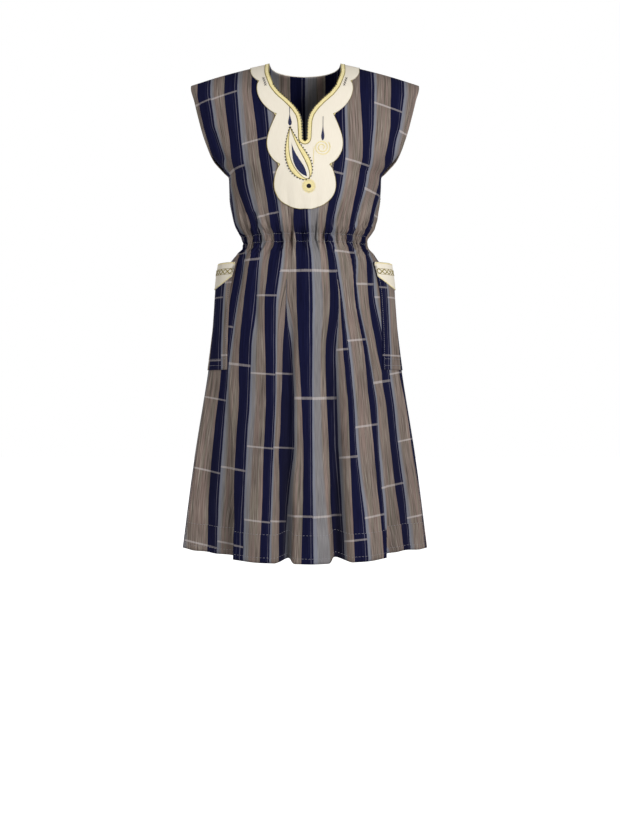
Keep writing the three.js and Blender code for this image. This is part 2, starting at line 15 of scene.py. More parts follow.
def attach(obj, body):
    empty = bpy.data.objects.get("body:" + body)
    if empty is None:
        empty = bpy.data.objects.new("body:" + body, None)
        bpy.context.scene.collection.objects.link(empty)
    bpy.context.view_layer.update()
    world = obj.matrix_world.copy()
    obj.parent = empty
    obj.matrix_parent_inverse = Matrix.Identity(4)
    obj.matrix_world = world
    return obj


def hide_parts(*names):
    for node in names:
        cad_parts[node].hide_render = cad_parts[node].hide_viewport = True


bl_info = {
    "name": "Smock dress finish",
    "version": (1, 0, 0),
    "blender": (4, 5, 0),
    "location": "3D View > Sidebar > Smock",
    "description": "Makes the cloth, yokes, braid, embroidery, pockets and stitching of a smock dress",
    "category": "Object",
}

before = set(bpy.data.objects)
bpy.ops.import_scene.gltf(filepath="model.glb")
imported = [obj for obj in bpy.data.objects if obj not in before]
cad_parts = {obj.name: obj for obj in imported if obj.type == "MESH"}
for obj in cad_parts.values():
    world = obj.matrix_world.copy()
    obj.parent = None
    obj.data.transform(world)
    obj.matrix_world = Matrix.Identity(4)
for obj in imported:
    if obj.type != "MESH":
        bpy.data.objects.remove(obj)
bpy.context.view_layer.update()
MM = 0.001

# ---------------------------------------------------------------- the form of the dress

SLIT_FOOT_Z, UNDERARM_Z, WAIST_Z = -161.0, -217.0, -351.0
POCKET_TOP_Z, POCKET_FOOT_Z, HEM_Z = -398.0, -620.0, -1016.0
HEM_SIDE_RISE, HEM_SIDE_POWER, HEM_LIFT = 24.0, 2.4, 0.32
NECK_HALF, SHOULDER_TIP_X, SHOULDER_NECK_Z = 74.0, 239.0, 22.0
SHOULDER_SLOPE, SHOULDER_DROOP, SHOULDER_ROUNDING = 0.2, 0.00043, 60.0
SEAM_GAP, CASING, SEAM_CALM = 0.3, 18.0, 0.07
FACING, LEVEL_STEP = {"front": -1.0, "back": 1.0}, 4

# Level sections: height, half width, turn, front depth, back depth, square, edge.
SECTIONS = np.array([
    (30, 239, 0.93, 20, 36, 2, 0.5),
    (0, 239, 0.94, 52, 64, 2, 0.5),
    (-28, 239, 0.945, 72, 82, 2, 0.5),
    (-60, 231, 0.94, 88, 95, 2, 0.5),
    (-100, 221, 0.92, 103, 106, 2, 0.5),
    (-142, 209, 0.913, 116, 112, 2, 0.5),
    (-174, 195, 0.935, 123, 113, 2.1, 0.48),
    (-200, 173, 0.962, 126, 111, 2.2, 0.45),
    (UNDERARM_Z, 160, 1, 126, 109, 2.3, 0.44),
    (-262, 158, 1, 120, 103, 2.3, 0.44),
    (-300, 151, 1, 112, 97, 2.2, 0.45),
    (-325, 142, 1, 106, 92, 2.1, 0.48),
    (-342, 131, 1, 98, 87, 2.1, 0.48),
    (WAIST_Z, 128, 1, 96, 86, 2.1, 0.48),
    (-366, 130, 1, 98, 89, 2.1, 0.48),
    (-380, 144, 1, 104, 98, 2.1, 0.48),
    (POCKET_TOP_Z, 158, 1, 109, 107, 2.1, 0.48),
    (-450, 176, 1, 114, 118, 2.1, 0.5),
    (-500, 187, 1, 116, 122, 2, 0.56),
    (POCKET_FOOT_Z, 203, 1, 119, 125, 2, 0.75),
    (-816, 234, 1, 122, 127, 2, 1.05),
    (HEM_Z - 10, 261, 1, 126, 130, 2, 1.22),
])
NECKLINE = np.array([
    (NECK_HALF, SHOULDER_NECK_Z), (74, -5), (70, -18), (63.5, -36), (52, -52), (34, -69),
    (19.5, -85), (10, -100), (5.5, -115), (4.2, -137), (3.6, -156), (0, SLIT_FOOT_Z),
])
BACK_NECK_DROP, BACK_NECK_SQUARE = 16.0, 2.6
# Scallops of the front yoke: end x, end z, swell, sag.
YOKE_SCALLOPS = [
    (114, 32, 0, 1), (113, 2, 0, 1), (94, -26, 5, 1), (58, -100, 16.5, 0.85),
    (50, -206, 24, 1.4), (0, -295, 37, 1),
]
SCALLOP_ROUNDNESS, YOKE_SHOULDER_X = 0.7, 113.8
# Shares of the rim's length where its corners lie, and the shares of the neckline they face.
YOKE_SPOKES = [(0, 0.028, 0.119, 0.351, 0.66, 1), (0, 0.08, 0.245, 0.58, 0.9, 1)]
BACK_YOKE = {"shoulder_x": 113.0, "below": 4.0, "depth": 46.0, "roundness": 0.9}
# Folds of the skirt: hem x, waist x, start z, depth, left half width, right half width.
FOLDS = {
    "front": [
        (-39, -33, -378, 31, 24, 20), (72, 52, -366, 33, 25, 27),
        (-157, -170, -590, 19, 74, 11), (179, 160, -590, 18, 11, 66),
        (-97, -66, -400, -9, 46, 38), (16, 10, -400, -8, 36, 36), (124, 84, -400, -9, 36, 44),
        (-214, -190, -640, 7, 26, 28), (222, 190, -640, 8, 27, 24),
    ],
    "back": [
        (-88, -42, -382, 30, 27, 24), (14, 6, -390, 32, 24, 25), (103, 54, -376, 29, 25, 27),
        (-172, -168, -590, 18, 64, 12), (165, 172, -590, 19, 12, 70),
        (-38, -20, -400, -8, 36, 34), (58, 30, -400, -9, 34, 34), (-132, -76, -400, -8, 34, 36),
        (138, 82, -400, -8, 30, 32), (224, 190, -640, 7, 27, 25), (-218, -190, -640, 8, 24, 28),
    ],
}
FOLD_GROWTH = 0.8
GATHERS, GATHER_HEIGHT, GATHER_UP, GATHER_DOWN = 16, 3.3, 38.0, 34.0
GATHER_DRIFT = [(9, 1, 0.011), (23, 0, 0.0066)]
POCKET_INNER = 20 / 28
# What is laid on the cloth: how far its outer face stands out, and how thick it is.
YOKE_LIFT = {"cloth": 1.8, "neck": 1.7, "rim": 1.55}
YOKE_THICKNESS, POCKET_THICKNESS, TRIM_THICKNESS = 1.3, 1.7, 1.25
POCKET_LIFT, TRIM_LIFT, ON_CLOTH = SEAM_GAP + 1.8, 1.55, 0.12
PICOT = {"long": 2.8, "gap": 3.5, "radius": 1.3}
# Each pocket's cloth: run before its first seam, the cloth's rate past it, how far down the cloth it
# is cut in metres, and the heights of its wefts by strip.
POCKET_CLOTH = {
    -1: {"seam": 18.0, "rate": 0.64, "start": 1.7, "wefts": {0: (-440, -590), -1: (-470, -600)}},
    1: {"seam": 22.0, "rate": 1.0, "start": 5.1, "wefts": {0: (-470, -590), -1: (-450, -590)}},
}
POCKET_OTHER_WEFTS, POCKET_STRIPS = (-430, -560), 6
GAPE = {"depth": 21.0, "half": 66.0, "foot": -540.0, "fall": 1.7, "roundness": 1.3}
LATTICE = {"crossings": 13, "middle": 19.0, "reach": 5.2, "lines": (13.2, 24.8)}
TRIM = {"half": 70.0, "depth": 54.0, "edge": 20.0, "square": 2.6}

# Creases in the cloth: from x, from z, to x, to z, half width, depth (a ridge if negative).
CREASES = {
    "front": [
        (-196, -118, -150, -212, 12, 4.5), (192, -124, 152, -212, 12, 4.5),
        (-158, -190, -118, -318, 15, 3.2), (150, -196, 108, -322, 16, 3.0),
        (-128, -150, -84, -330, 17, 2.2), (124, -160, 84, -330, 15, 2.4),
        (-190, -60, -120, -200, 20, 2.0), (184, -50, 118, -190, 22, 1.8),
        (-62, -262, -50, -338, 9, 2.6), (-30, -300, -26, -340, 7, 2.2), (70, -270, 56, -338, 9, 2.4),
        (22, -302, 20, -340, 7, 2.0), (104, -290, 84, -338, 9, 2.4), (-104, -292, -90, -338, 9, 2.6),
        (-88, -366, -98, -560, 10, 4.4), (-64, -362, -76, -470, 8, 3.0), (-118, -372, -150, -640, 13, 3.6),
        (-8, -366, -6, -520, 9, 3.0), (28, -364, 30, -470, 8, 2.8), (88, -366, 112, -470, 9, 5.5),
        (112, -470, 156, -820, 11, 4.6), (118, -374, 140, -560, 10, 3.4), (-76, -560, -92, -980, 17, 2.6),
        (-128, -640, -142, -1000, 15, 2.8), (-20, -480, -2, -900, 13, 2.2), (40, -560, 44, -990, 14, 2.6),
        (98, -620, 104, -1000, 12, 3.2), (150, -560, 186, -960, 14, 2.4),
        (-176, -640, -196, -1000, 17, 2.2), (196, -660, 214, -1000, 15, 2.4),
        (-232, -760, -240, -1010, 12, 2.0), (236, -780, 242, -1010, 12, 1.8),
    ],
    "back": [
        (-192, -116, -150, -212, 13, 4.2), (194, -120, 152, -212, 12, 4.4),
        (-150, -80, -96, -320, 20, 2.6), (146, -96, 100, -322, 18, 2.8),
        (-70, -90, -30, -300, 24, 2.0), (64, -84, 38, -310, 22, 2.2), (0, -120, 4, -330, 20, 1.8),
        (-104, -290, -92, -338, 9, 2.4), (96, -286, 84, -338, 9, 2.6), (-58, -296, -52, -340, 8, 2.4),
        (34, -300, 30, -340, 7, 2.2), (-14, -298, -12, -340, 7, 2.2),
        (-80, -364, -118, -560, 10, 4.0), (-24, -366, -30, -520, 9, 3.6), (34, -364, 44, -560, 9, 4.0),
        (78, -366, 96, -520, 10, 3.4), (112, -372, 140, -640, 13, 3.6), (-116, -372, -146, -620, 12, 3.4),
        (-60, -560, -66, -990, 15, 2.8), (-124, -600, -140, -1000, 15, 2.6), (56, -560, 62, -980, 14, 2.6),
        (124, -620, 140, -1000, 16, 2.4), (184, -640, 200, -1000, 15, 2.4),
        (-186, -640, -204, -1000, 16, 2.4), (232, -760, 240, -1010, 12, 2.0),
        (-236, -780, -244, -1010, 12, 1.8), (-8, -700, -4, -1000, 13, 2.2),
    ],
}

# The seams between the strips of the front: height, then x of the seams third left to third right.
STRIP_SEAMS = np.array([
    (40, -198, -140, -83, 3, 81, 144, 208),
    (-50, -196, -139, -82, 3, 81, 143, 206),
    (-120, -186, -133, -74, 3, 82, 141, 196),
    (-190, -166, -127, -69, 4, 83, 135, 181),
    (-255, -152, -116, -61, 5, 74, 122, 155),
    (-315, -142, -97, -51, 7, 58, 103, 139),
    (-355, -117, -88, -45, 9, 57, 95, 120),
    (-400, -126, -94, -47, 14, 64, 106, 139),
    (-480, -141, -100, -59, 16, 76, 108, 144),
    (-580, -154, -109, -59, 15, 89, 129, 167),
    (-685, -164, -113, -59, 15, 101, 148, 186),
    (-785, -172, -120, -64, 15, 105, 152, 195),
    (-885, -178, -124, -68, 16, 120, 160, 209),
    (-1010, -184, -127, -73, 17, 130, 172, 222),
])
# How wide the navy band beside each of those seams shows: height, then the seven widths.
NAVY_WIDTHS = np.array([
    (-50, 28, 28, 28, 28, 28, 30, 28),
    (-120, 24, 26, 26, 28, 28, 24, 20),
    (-190, 22, 24, 24, 28, 24, 16, 14),
    (-255, 12, 22, 20, 28, 20, 16, 8),
    (-315, 8, 14, 20, 30, 16, 10, 8),
    (-355, 12, 16, 20, 28, 16, 10, 6),
    (-400, 14, 20, 28, 32, 16, 8, 10),
    (-480, 14, 26, 24, 34, 24, 6, 14),
    (-580, 14, 26, 22, 28, 26, 8, 18),
    (-685, 18, 24, 20, 22, 26, 16, 18),
    (-785, 22, 24, 20, 18, 18, 10, 18),
    (-885, 24, 24, 18, 20, 22, 8, 18),
    (-1010, 20, 22, 20, 24, 24, 8, 14),
])
GORE_NAVY = 21.0
# The two gores let into the front below the waist: height, then x of the edges of each.
GORES = np.array([
    (40, -36, -36, 62, 62),
    (-355, -28, -28, 52, 52),
    (-440, -37, -37, 68, 68),
    (-480, -39, -38, 70, 73),
    (-580, -45, -28, 63, 77),
    (-685, -48, -21, 65, 88),
    (-785, -54, -23, 68, 92),
    (-885, -52, -34, 75, 96),
    (-1010, -54, -43, 82, 102),
])
GORE_START_Z, GORE_FULL_Z = -440.0, -560.0
# Heights of the pale wefts, by strip from the fifth left to the fifth right of the middle seam.
WEFTS = {
    -5: (-70, -225, -380, -530, -680, -830, -985),
    -4: (-55, -210, -395, -610, -825, -980),
    -3: (-155, -305, -470, -630, -780, -930),
    -2: (-215, -420, -630, -780, -930),
    -1: (-215, -420, -680, -920),
    0: (-220, -420, -680, -920),
    1: (-220, -420, -580, -800, -970),
    2: (-200, -380, -560, -735, -920),
    3: (-80, -255, -445, -645, -860),
    4: (-135, -305, -470, -625, -765, -925),
}
# The back is cut from other lengths of the cloth: how far its wefts and its yarns lie from the front's.
BACK_WEFT_SHIFT, BACK_CLOTH_START = 34.0, 3.1

# One woven strip and its navy band, flat; how much of a strip the sides and the waist take up.
STRIP, NAVY = 66.0, 28.0
SIDE_RATE, WAIST_RATE, WAIST_REACH = 1.12, 0.22, 34.0
POCKET_RATE, POCKET_RATE_Z, HEM_RATE, HEM_RATE_Z = 0.72, (-480.0, 140.0), 0.14, (-780.0, 200.0)
BACK_CROWDING = 1.04
# How the wefts run: steps of height for the strips' middles, the outer strips' share that shows,
# the tilt outwards in the skirt, and where they stop following the shoulders' slope.
MIDDLE_STEP, OUTER_STRIP_SHOWS, WEFT_END_GAP = 20, 0.7, 80.0
SKIRT_TILT = {"most": 0.2, "reach": 200.0, "from_z": -420.0, "over": 120.0}
SLANT_END_Z, SLANT_FADE = -300.0, 140.0
HALF_COLUMNS = 112
GS = np.linspace(-1, 1, 2 * HALF_COLUMNS + 1)
TOP_SHARES = np.concatenate([np.linspace(0, 0.12, 9)[:-1], np.linspace(0.12, 1, 34)])
LEVELS = np.concatenate([
    np.linspace(SLIT_FOOT_Z, -296, 26)[:-1],
    np.linspace(-296, POCKET_TOP_Z, 40)[:-1],
    np.linspace(POCKET_TOP_Z, POCKET_FOOT_Z, 40),
])
# Stitch lines: distances above the hem, and heights of the two beside the elastic.
HEM_STITCHES = (11.0, 58.0)
CASING_HALF = 8.0
CASING_STITCHES = (WAIST_Z + CASING_HALF, WAIST_Z - CASING_HALF)
# Fine gathers beside the casing, and how near the seams and shoulders the cloth lies flat.
FINE_GATHER, FINE_UP, FINE_DOWN = 3.0, 23.0, 21.0
RELIEF_CALM = {"seam": 0.12, "shoulder": 26.0}
SKIRT_SHARES = np.array(sorted(
    [*np.linspace(0, 1, 49)[1:], *(1 - d / (POCKET_FOOT_Z - HEM_Z) for d in HEM_STITCHES)]
))


def smooth(at, to):
    """A curve through the points that never passes them, for arrays."""
    order = np.argsort(at)
    at, to = np.asarray(at, float)[order], np.asarray(to, float)[order]
    rise = np.diff(to) / np.diff(at)
    slope = np.concatenate([rise[:1], np.zeros(len(at) - 2), rise[-1:]])
    same = rise[:-1] * rise[1:] > 0
    total = np.where(same, rise[:-1] + rise[1:], 1)
    slope[1:-1] = np.where(same, 2 * rise[:-1] * rise[1:] / total, 0)

    def curve(x):
        x = np.clip(np.asarray(x, float), at[0], at[-1])
        i = np.clip(np.searchsorted(at, x) - 1, 0, len(at) - 2)
        step = at[i + 1] - at[i]
        t = (x - at[i]) / step
        ends = to[i] * (1 + 2 * t) * (1 - t) ** 2 + to[i + 1] * t * t * (3 - 2 * t)
        return ends + step * (slope[i] * t * (1 - t) ** 2 - slope[i + 1] * t * t * (1 - t))

    return curve


def ease(t):
    t = np.clip(t, 0, 1)
    return t * t * (3 - 2 * t)


def mix(a, b, t):
    return a + (b - a) * t


half = smooth(SECTIONS[:, 0], SECTIONS[:, 1])
_turn = smooth(SECTIONS[:, 0], SECTIONS[:, 2])
depth = {"front": smooth(SECTIONS[:, 0], SECTIONS[:, 3]), "back": smooth(SECTIONS[:, 0], SECTIONS[:, 4])}
square = smooth(SECTIONS[:, 0], SECTIONS[:, 5])
edge = smooth(SECTIONS[:, 0], SECTIONS[:, 6])


def turn(z):
    return np.where(z <= UNDERARM_Z, 1.0, np.minimum(1.0, _turn(z)))


def shoulder_z(x):
    past = np.abs(x) - NECK_HALF
    return SHOULDER_NECK_Z - SHOULDER_SLOPE * past - SHOULDER_DROOP * np.maximum(past, 0) ** 2


def back_neck_z(x):
    share = np.clip(np.abs(x) / NECK_HALF, 0, 1)
    return SHOULDER_NECK_Z - BACK_NECK_DROP * np.sqrt(np.maximum(0, 1 - share**BACK_NECK_SQUARE))


def swell_at(side, x, z):
    """How far a panel stands from the plane of the side seams over a point of its upper part."""
    across = np.clip(np.abs(x) * turn(z) / half(z), 0, 1)
    round_ = np.clip(np.maximum(shoulder_z(x) - z, 0) / SHOULDER_ROUNDING, 0, 1)
    return depth[side](z) * (1 - across ** square(z)) ** edge(z) * np.sqrt(1 - (1 - round_) ** 2)


def upper_point(side, x, z):
    return np.stack([x, FACING[side] * (swell_at(side, x, z) + SEAM_GAP / 2), z], -1)


def level_curve(side, z, gs, steps=160):
    """Points and outward ways of a panel's level curve at a height, at shares of the half panel."""
    z = float(z)
    reach, deep = half(z) / turn(z), depth[side](z)
    across = np.sin(np.linspace(0, np.arcsin(turn(z)), steps + 1))
    xs, ys = reach * across, deep * np.maximum(0, 1 - across ** square(z)) ** edge(z)
    run = np.concatenate([[0], np.cumsum(np.hypot(np.diff(xs), np.diff(ys)))])
    run /= run[-1]

    def at(share):
        share = np.clip(share, 0, 1)
        return np.interp(share, run, xs), np.interp(share, run, ys)

    a, flip = np.abs(gs), np.where(gs < 0, -1.0, 1.0)
    x, y = at(a)
    (x0, y0), (x1, y1) = at(a - 0.01), at(a + 0.01)
    long = np.hypot(x1 - x0, y1 - y0)
    out_x, out_y = -flip * (y1 - y0) / long, (x1 - x0) / long
    middle = a < 1e-9
    return flip * x, y, np.where(middle, 0, out_x), np.where(middle, 1, out_y)


def gather_wave(gs):
    k = np.arange(4 * GATHERS + 1)
    even = k / (2 * GATHERS) - 1
    drift = sum(size * np.sin(turns * even + start) for turns, start, size in GATHER_DRIFT)
    return np.sin(np.pi / 2 * np.interp(gs, even + drift * (1 - even * even), k))


def gather_share(g, z):
    above, below = z - (WAIST_Z + CASING / 2), WAIST_Z - CASING / 2 - z
    faded = np.where(above > 0, np.exp(-above / GATHER_UP), np.exp(-np.maximum(below, 0) / GATHER_DOWN))
    beside = ease((POCKET_INNER - np.abs(g)) / 0.1) + ease((z - POCKET_TOP_Z) / 25)
    return faded * np.clip(beside, 0, 1) * ease((z - POCKET_TOP_Z) / 90 + 1)


def folds_depth(side, x, z):
    total = 0
    for hem, waist, start, deep, left, right in FOLDS[side]:
        grown = np.clip((start - z) / (start - HEM_Z), 0, 1) ** FOLD_GROWTH
        middle = mix(waist, hem, ease((WAIST_Z - z) / (WAIST_Z - HEM_Z)))
        t = np.minimum(1, np.abs(x - middle) / np.where(x < middle, left, right))
        total = total + deep * grown * (1 + np.cos(np.pi * t)) / 2
    return total


def seam_ease(g):
    return ease((1 - np.abs(g)) / SEAM_CALM)


def lower_row(side, gs, z):
    """A level row of a panel below the slit, or one whose height changes along it."""
    zs = np.broadcast_to(np.asarray(z, float), gs.shape)
    if np.ptp(zs) < 1e-6:
        x, y, ox, oy = level_curve(side, zs[0], gs)
    else:
        gap = LEVEL_STEP
        steps = np.arange(np.floor(zs.min() / gap) * gap, zs.max() + gap, gap)
        table = np.array([level_curve(side, level, gs) for level in steps])
        i = np.clip(((zs - steps[0]) / gap).astype(int), 0, len(steps) - 2)
        t, j = (zs - steps[i]) / gap, np.arange(len(gs))
        x, y, ox, oy = (table[i, k, j] * (1 - t) + table[i + 1, k, j] * t for k in range(4))
    out = (GATHER_HEIGHT * gather_share(gs, zs) * gather_wave(gs) - folds_depth(side, x, zs)) * seam_ease(gs)
    return np.stack([x + out * ox, FACING[side] * (y + out * oy + SEAM_GAP / 2), zs], -1)


def hem_z(side, gs):
    x = level_curve(side, HEM_Z, gs)[0]
    valley = np.maximum(0, folds_depth(side, x, HEM_Z))
    return HEM_Z + HEM_SIDE_RISE * np.abs(gs) ** HEM_SIDE_POWER + HEM_LIFT * valley * seam_ease(gs)


def run_of(points):
    """The distance along a line of points, from its start."""
    return np.concatenate([[0], np.cumsum(np.linalg.norm(np.diff(points, axis=0), axis=1))])


def along(points, shares):
    """A line of points cut again at shares of its own length."""
    run = run_of(points)
    want = np.asarray(shares) * run[-1]
    return np.stack([np.interp(want, run, points[:, k]) for k in range(points.shape[1])], -1)


def steps_of(line):
    """The way a line runs at each of its points, as steps of length one."""
    step = np.gradient(line, axis=0)
    return step / np.maximum(np.linalg.norm(step, axis=1, keepdims=True), 1e-9)


def offset(line, away):
    """A flat line moved sideways, to the left of its run if away is positive."""
    step = steps_of(line)
    return line + np.stack([-step[:, 1], step[:, 0]], -1) * away


def softened(line, times=3):
    """A line whose corners are eased, with its ends kept."""
    for _ in range(times):
        inner = (line[:-2] + 2 * line[1:-1] + line[2:]) / 4
        line = np.concatenate([line[:1], inner, line[-1:]])
    return line


# ---------------------------------------------------------------- cloth grids


def front_top_rows():
    """Rows of the right half of the front above the slit's foot, from the neckline to the armhole."""
    cs = np.linspace(0, 1, HALF_COLUMNS + 1)
    foot_x = level_curve("front", SLIT_FOOT_Z, cs)[0]
    neck = along(NECKLINE, TOP_SHARES)
    tip_z = float(shoulder_z(SHOULDER_TIP_X))
    seam_x = mix(NECK_HALF, SHOULDER_TIP_X, cs)
    seam = np.stack([seam_x, shoulder_z(seam_x)], -1)
    foot = np.stack([foot_x, np.full_like(foot_x, SLIT_FOOT_Z)], -1)
    corner = [NECKLINE[0], np.array([SHOULDER_TIP_X, tip_z]), foot[0], foot[-1]]
    rows = []
    for row, t in enumerate(TOP_SHARES):
        arm_z = mix(tip_z, SLIT_FOOT_Z, t)
        arm = np.array([float(half(arm_z)), arm_z])
        c = cs[:, None]
        corners_mix = mix(mix(corner[0], corner[1], c), mix(corner[2], corner[3], c), t)
        flat = mix(seam, foot, t) + mix(neck[row], arm, c) - corners_mix
        rows.append(upper_point("front", flat[:, 0], flat[:, 1]))
    return rows


def back_top_rows():
    """Rows of the back above the height of the slit's foot, from the neck and shoulders down."""
    neck_share, last = 4 / 14, 13 / 14
    a, flip = np.abs(GS), np.sign(GS)
    beyond = (a - neck_share) / (1 - neck_share)
    seam_x = flip * np.where(beyond > 0, mix(NECK_HALF, SHOULDER_TIP_X, beyond), NECK_HALF * a / neck_share)
    top_z = np.where(beyond >= -1e-9, shoulder_z(seam_x), back_neck_z(seam_x))
    foot_x = level_curve("back", SLIT_FOOT_Z, GS)[0]
    rows = []
    for t in TOP_SHARES:
        z = mix(top_z, SLIT_FOOT_Z, t)
        even = np.abs(mix(seam_x, foot_x, ease(t)))
        inner = np.interp(last, a[HALF_COLUMNS:], even[HALF_COLUMNS:])
        x = flip * np.where(a > last, mix(inner, half(z), (a - last) / (1 - last)), even)
        rows.append(upper_point("back", x, z))
    return rows


def lower_rows(side):
    rows = [lower_row(side, GS, z) for z in LEVELS]
    foot = hem_z(side, GS)
    return rows + [lower_row(side, GS, mix(POCKET_FOOT_Z, foot, share)) for share in SKIRT_SHARES]


def numbering(grid):
    """A number for each point of a grid, row by row."""
    return np.arange(grid.shape[0] * grid.shape[1]).reshape(grid.shape[:2])


def grid_faces(numbers, flip=False):
    """Quads between the rows of a grid of point numbers."""
    a, b, c, d = numbers[:-1, :-1], numbers[1:, :-1], numbers[1:, 1:], numbers[:-1, 1:]
    quads = np.stack([a, b, c, d] if not flip else [d, c, b, a], -1)
    return quads.reshape(-1, 4)


def point_ways(points, quads):
    """Which way a surface of quads faces at each point."""
    p = points[quads]
    way = np.cross(p[:, 2] - p[:, 0], p[:, 3] - p[:, 1])
    total = np.zeros_like(points)
    for k in range(4):
        np.add.at(total, quads[:, k], way)
    return total / np.maximum(np.linalg.norm(total, axis=1, keepdims=True), 1e-12)


def crease_depth(side, x, z):
    total = np.zeros_like(x)
    for x0, z0, x1, z1, wide, deep in CREASES[side]:
        dx, dz = x1 - x0, z1 - z0
        t = ((x - x0) * dx + (z - z0) * dz) / (dx * dx + dz * dz)
        bend = 0.05 * np.hypot(dx, dz) * np.sin(np.pi * np.clip(t, 0, 1)) * np.sign(x0 or 1)
        away = ((x - x0) * dz - (z - z0) * dx) / np.hypot(dx, dz) + bend
        fade = ease(t / 0.3 + 0.2) * ease((1 - t) / 0.35 + 0.15)
        total += deep * fade * np.exp(-((away / (0.62 * wide)) ** 2))
    return total


def noise_at(points, scale, seed):
    """Soft noise for points in millimetres; scale is the size of its lumps in x, y and z."""
    lumps = points / np.asarray(scale) + seed
    return np.array([noise.noise(Vector(p)) for p in lumps])


def relief(side, points, gs):
    """How far the cloth's creases, fine gathers and unevenness move it out from its plain form."""
    x, z = points[:, 0], points[:, 2]
    by_seam = ease((1 - np.abs(gs)) / RELIEF_CALM["seam"])
    under_pocket = ease((POCKET_TOP_Z + 22 - z) / 20) * ease((z - POCKET_FOOT_Z + 30) / 24)
    by_pocket = 1 - ease((np.abs(gs) - 0.62) / 0.08) * under_pocket
    above = np.maximum(z - WAIST_Z - CASING_HALF, 0)
    below = np.maximum(WAIST_Z - CASING_HALF - z, 0)
    near = np.where(z > WAIST_Z, np.exp(-above / FINE_UP), np.exp(-below / FINE_DOWN))
    wander = noise_at(points, (26, 26, 60), 4.0 if side == "front" else 9.0)
    fine = np.sin(2 * np.pi * (23 * gs + 1.1 * np.sin(8 * gs) + 1.2 * wander))
    fine = fine + 0.5 * np.sin(2 * np.pi * (37 * gs + 1.9 * wander))
    rows = sum(np.exp(-(((z - level) / 2.6) ** 2)) for level in CASING_STITCHES)
    puff = np.exp(-(((z - (WAIST_Z + 32)) / 20) ** 2))
    cloth = noise_at(points, (62, 62, 120), 2.3) * 2.2 + noise_at(points, (19, 19, 34), 7.1) * 0.7
    seamed = cloth * ease((UNDERARM_Z + 60 - z) / 60 + 0.45)
    out = FINE_GATHER * near * fine - 1.3 * rows + 2.0 * puff + seamed - crease_depth(side, x, z)
    return out * by_seam * by_pocket * ease((shoulder_z(x) - z) / RELIEF_CALM["shoulder"])


@functools.cache
def panel(side):
    """A panel's outer face: points, quads, ways it faces, rows of point numbers, shares and plain points."""
    points, gs = [], []

    def put(row, shares):
        start = sum(len(p) for p in points)
        points.append(row)
        gs.append(shares)
        return np.arange(start, start + len(row))

    if side == "front":
        right_gs = np.linspace(0, 1, HALF_COLUMNS + 1)
        tops = front_top_rows()[:-1]
        right = [put(row, right_gs) for row in tops]
        left = [put(row[::-1] * (-1, 1, 1), -right_gs[::-1]) for row in tops]
    else:
        full = [put(row, GS) for row in back_top_rows()[:-1]]
    low = [put(row, GS) for row in lower_rows(side)]
    if side == "front":
        join = low[0]
        quads = [
            grid_faces(np.array([*right, join[HALF_COLUMNS:]])),
            grid_faces(np.array([*left, join[: HALF_COLUMNS + 1]])),
            grid_faces(np.array(low)),
        ]
        numbers = [*([np.concatenate([l, r]) for l, r in zip(left, right)]), *low]
    else:
        numbers = [*full, *low]
        quads = [grid_faces(np.array(numbers), flip=True)]
    plain, quads, gs = np.concatenate(points), np.concatenate(quads), np.concatenate(gs)
    points = plain + point_ways(plain, quads) * relief(side, plain, gs)[:, None]
    return points, quads, point_ways(points, quads), numbers, gs, plain


def at_height(table, z):
    """The columns of a table at a height; its first column holds falling heights."""
    return np.array([np.interp(-z, -table[:, 0], column) for column in table.T[1:]])


def strip_knots(z):
    """Where the front's seams and band edges run at a height: x, and the distance over the cloth."""
    seams, gore = at_height(STRIP_SEAMS, z), at_height(GORES, z)
    starts = seams - at_height(NAVY_WIDTHS, z)
    opened = float(ease((GORE_START_Z - z) / (GORE_START_Z - GORE_FULL_Z)))
    order = np.arange(-3, 4) * STRIP
    closed_x, closed_u = np.stack([starts, seams], -1).ravel(), np.stack([order - NAVY, order], -1).ravel()
    plain = np.interp(gore, closed_x, closed_u) + (-STRIP, 0, 0, STRIP)
    us = mix(plain, np.array([-STRIP - NAVY, -STRIP, STRIP, 2 * STRIP - NAVY]), opened)
    first = mix(starts[4], gore[2] - GORE_NAVY, opened)
    x = [*closed_x[:6], *gore[:2], starts[3], seams[3], first, *gore[2:], *closed_x[9:]]
    u = [*(closed_u[:6] - STRIP), *us[:2], -NAVY, 0, STRIP - NAVY, *us[2:], *(closed_u[9:] + STRIP)]
    x = np.maximum.accumulate(np.array(x) + np.arange(len(x)) * 1e-4)
    return x, np.maximum.accumulate(np.array(u))


# The back's width over the cloth, from its middle to its side, at heights.
BACK_WIDTHS = smooth([30, -60, -115, -217, -351, -420, -1016], [247, 236, 225, 232, 262, 272, 352])


def beyond_knots(x, kx, ku, low, high):
    """Distances over the cloth between the knots, and past the outer ones at their own rates."""
    inside = np.interp(x, kx, ku)
    inside = np.where(x < kx[0], ku[0] - (kx[0] - x) * low, inside)
    return np.where(x > kx[-1], ku[-1] + (x - kx[-1]) * high, inside)


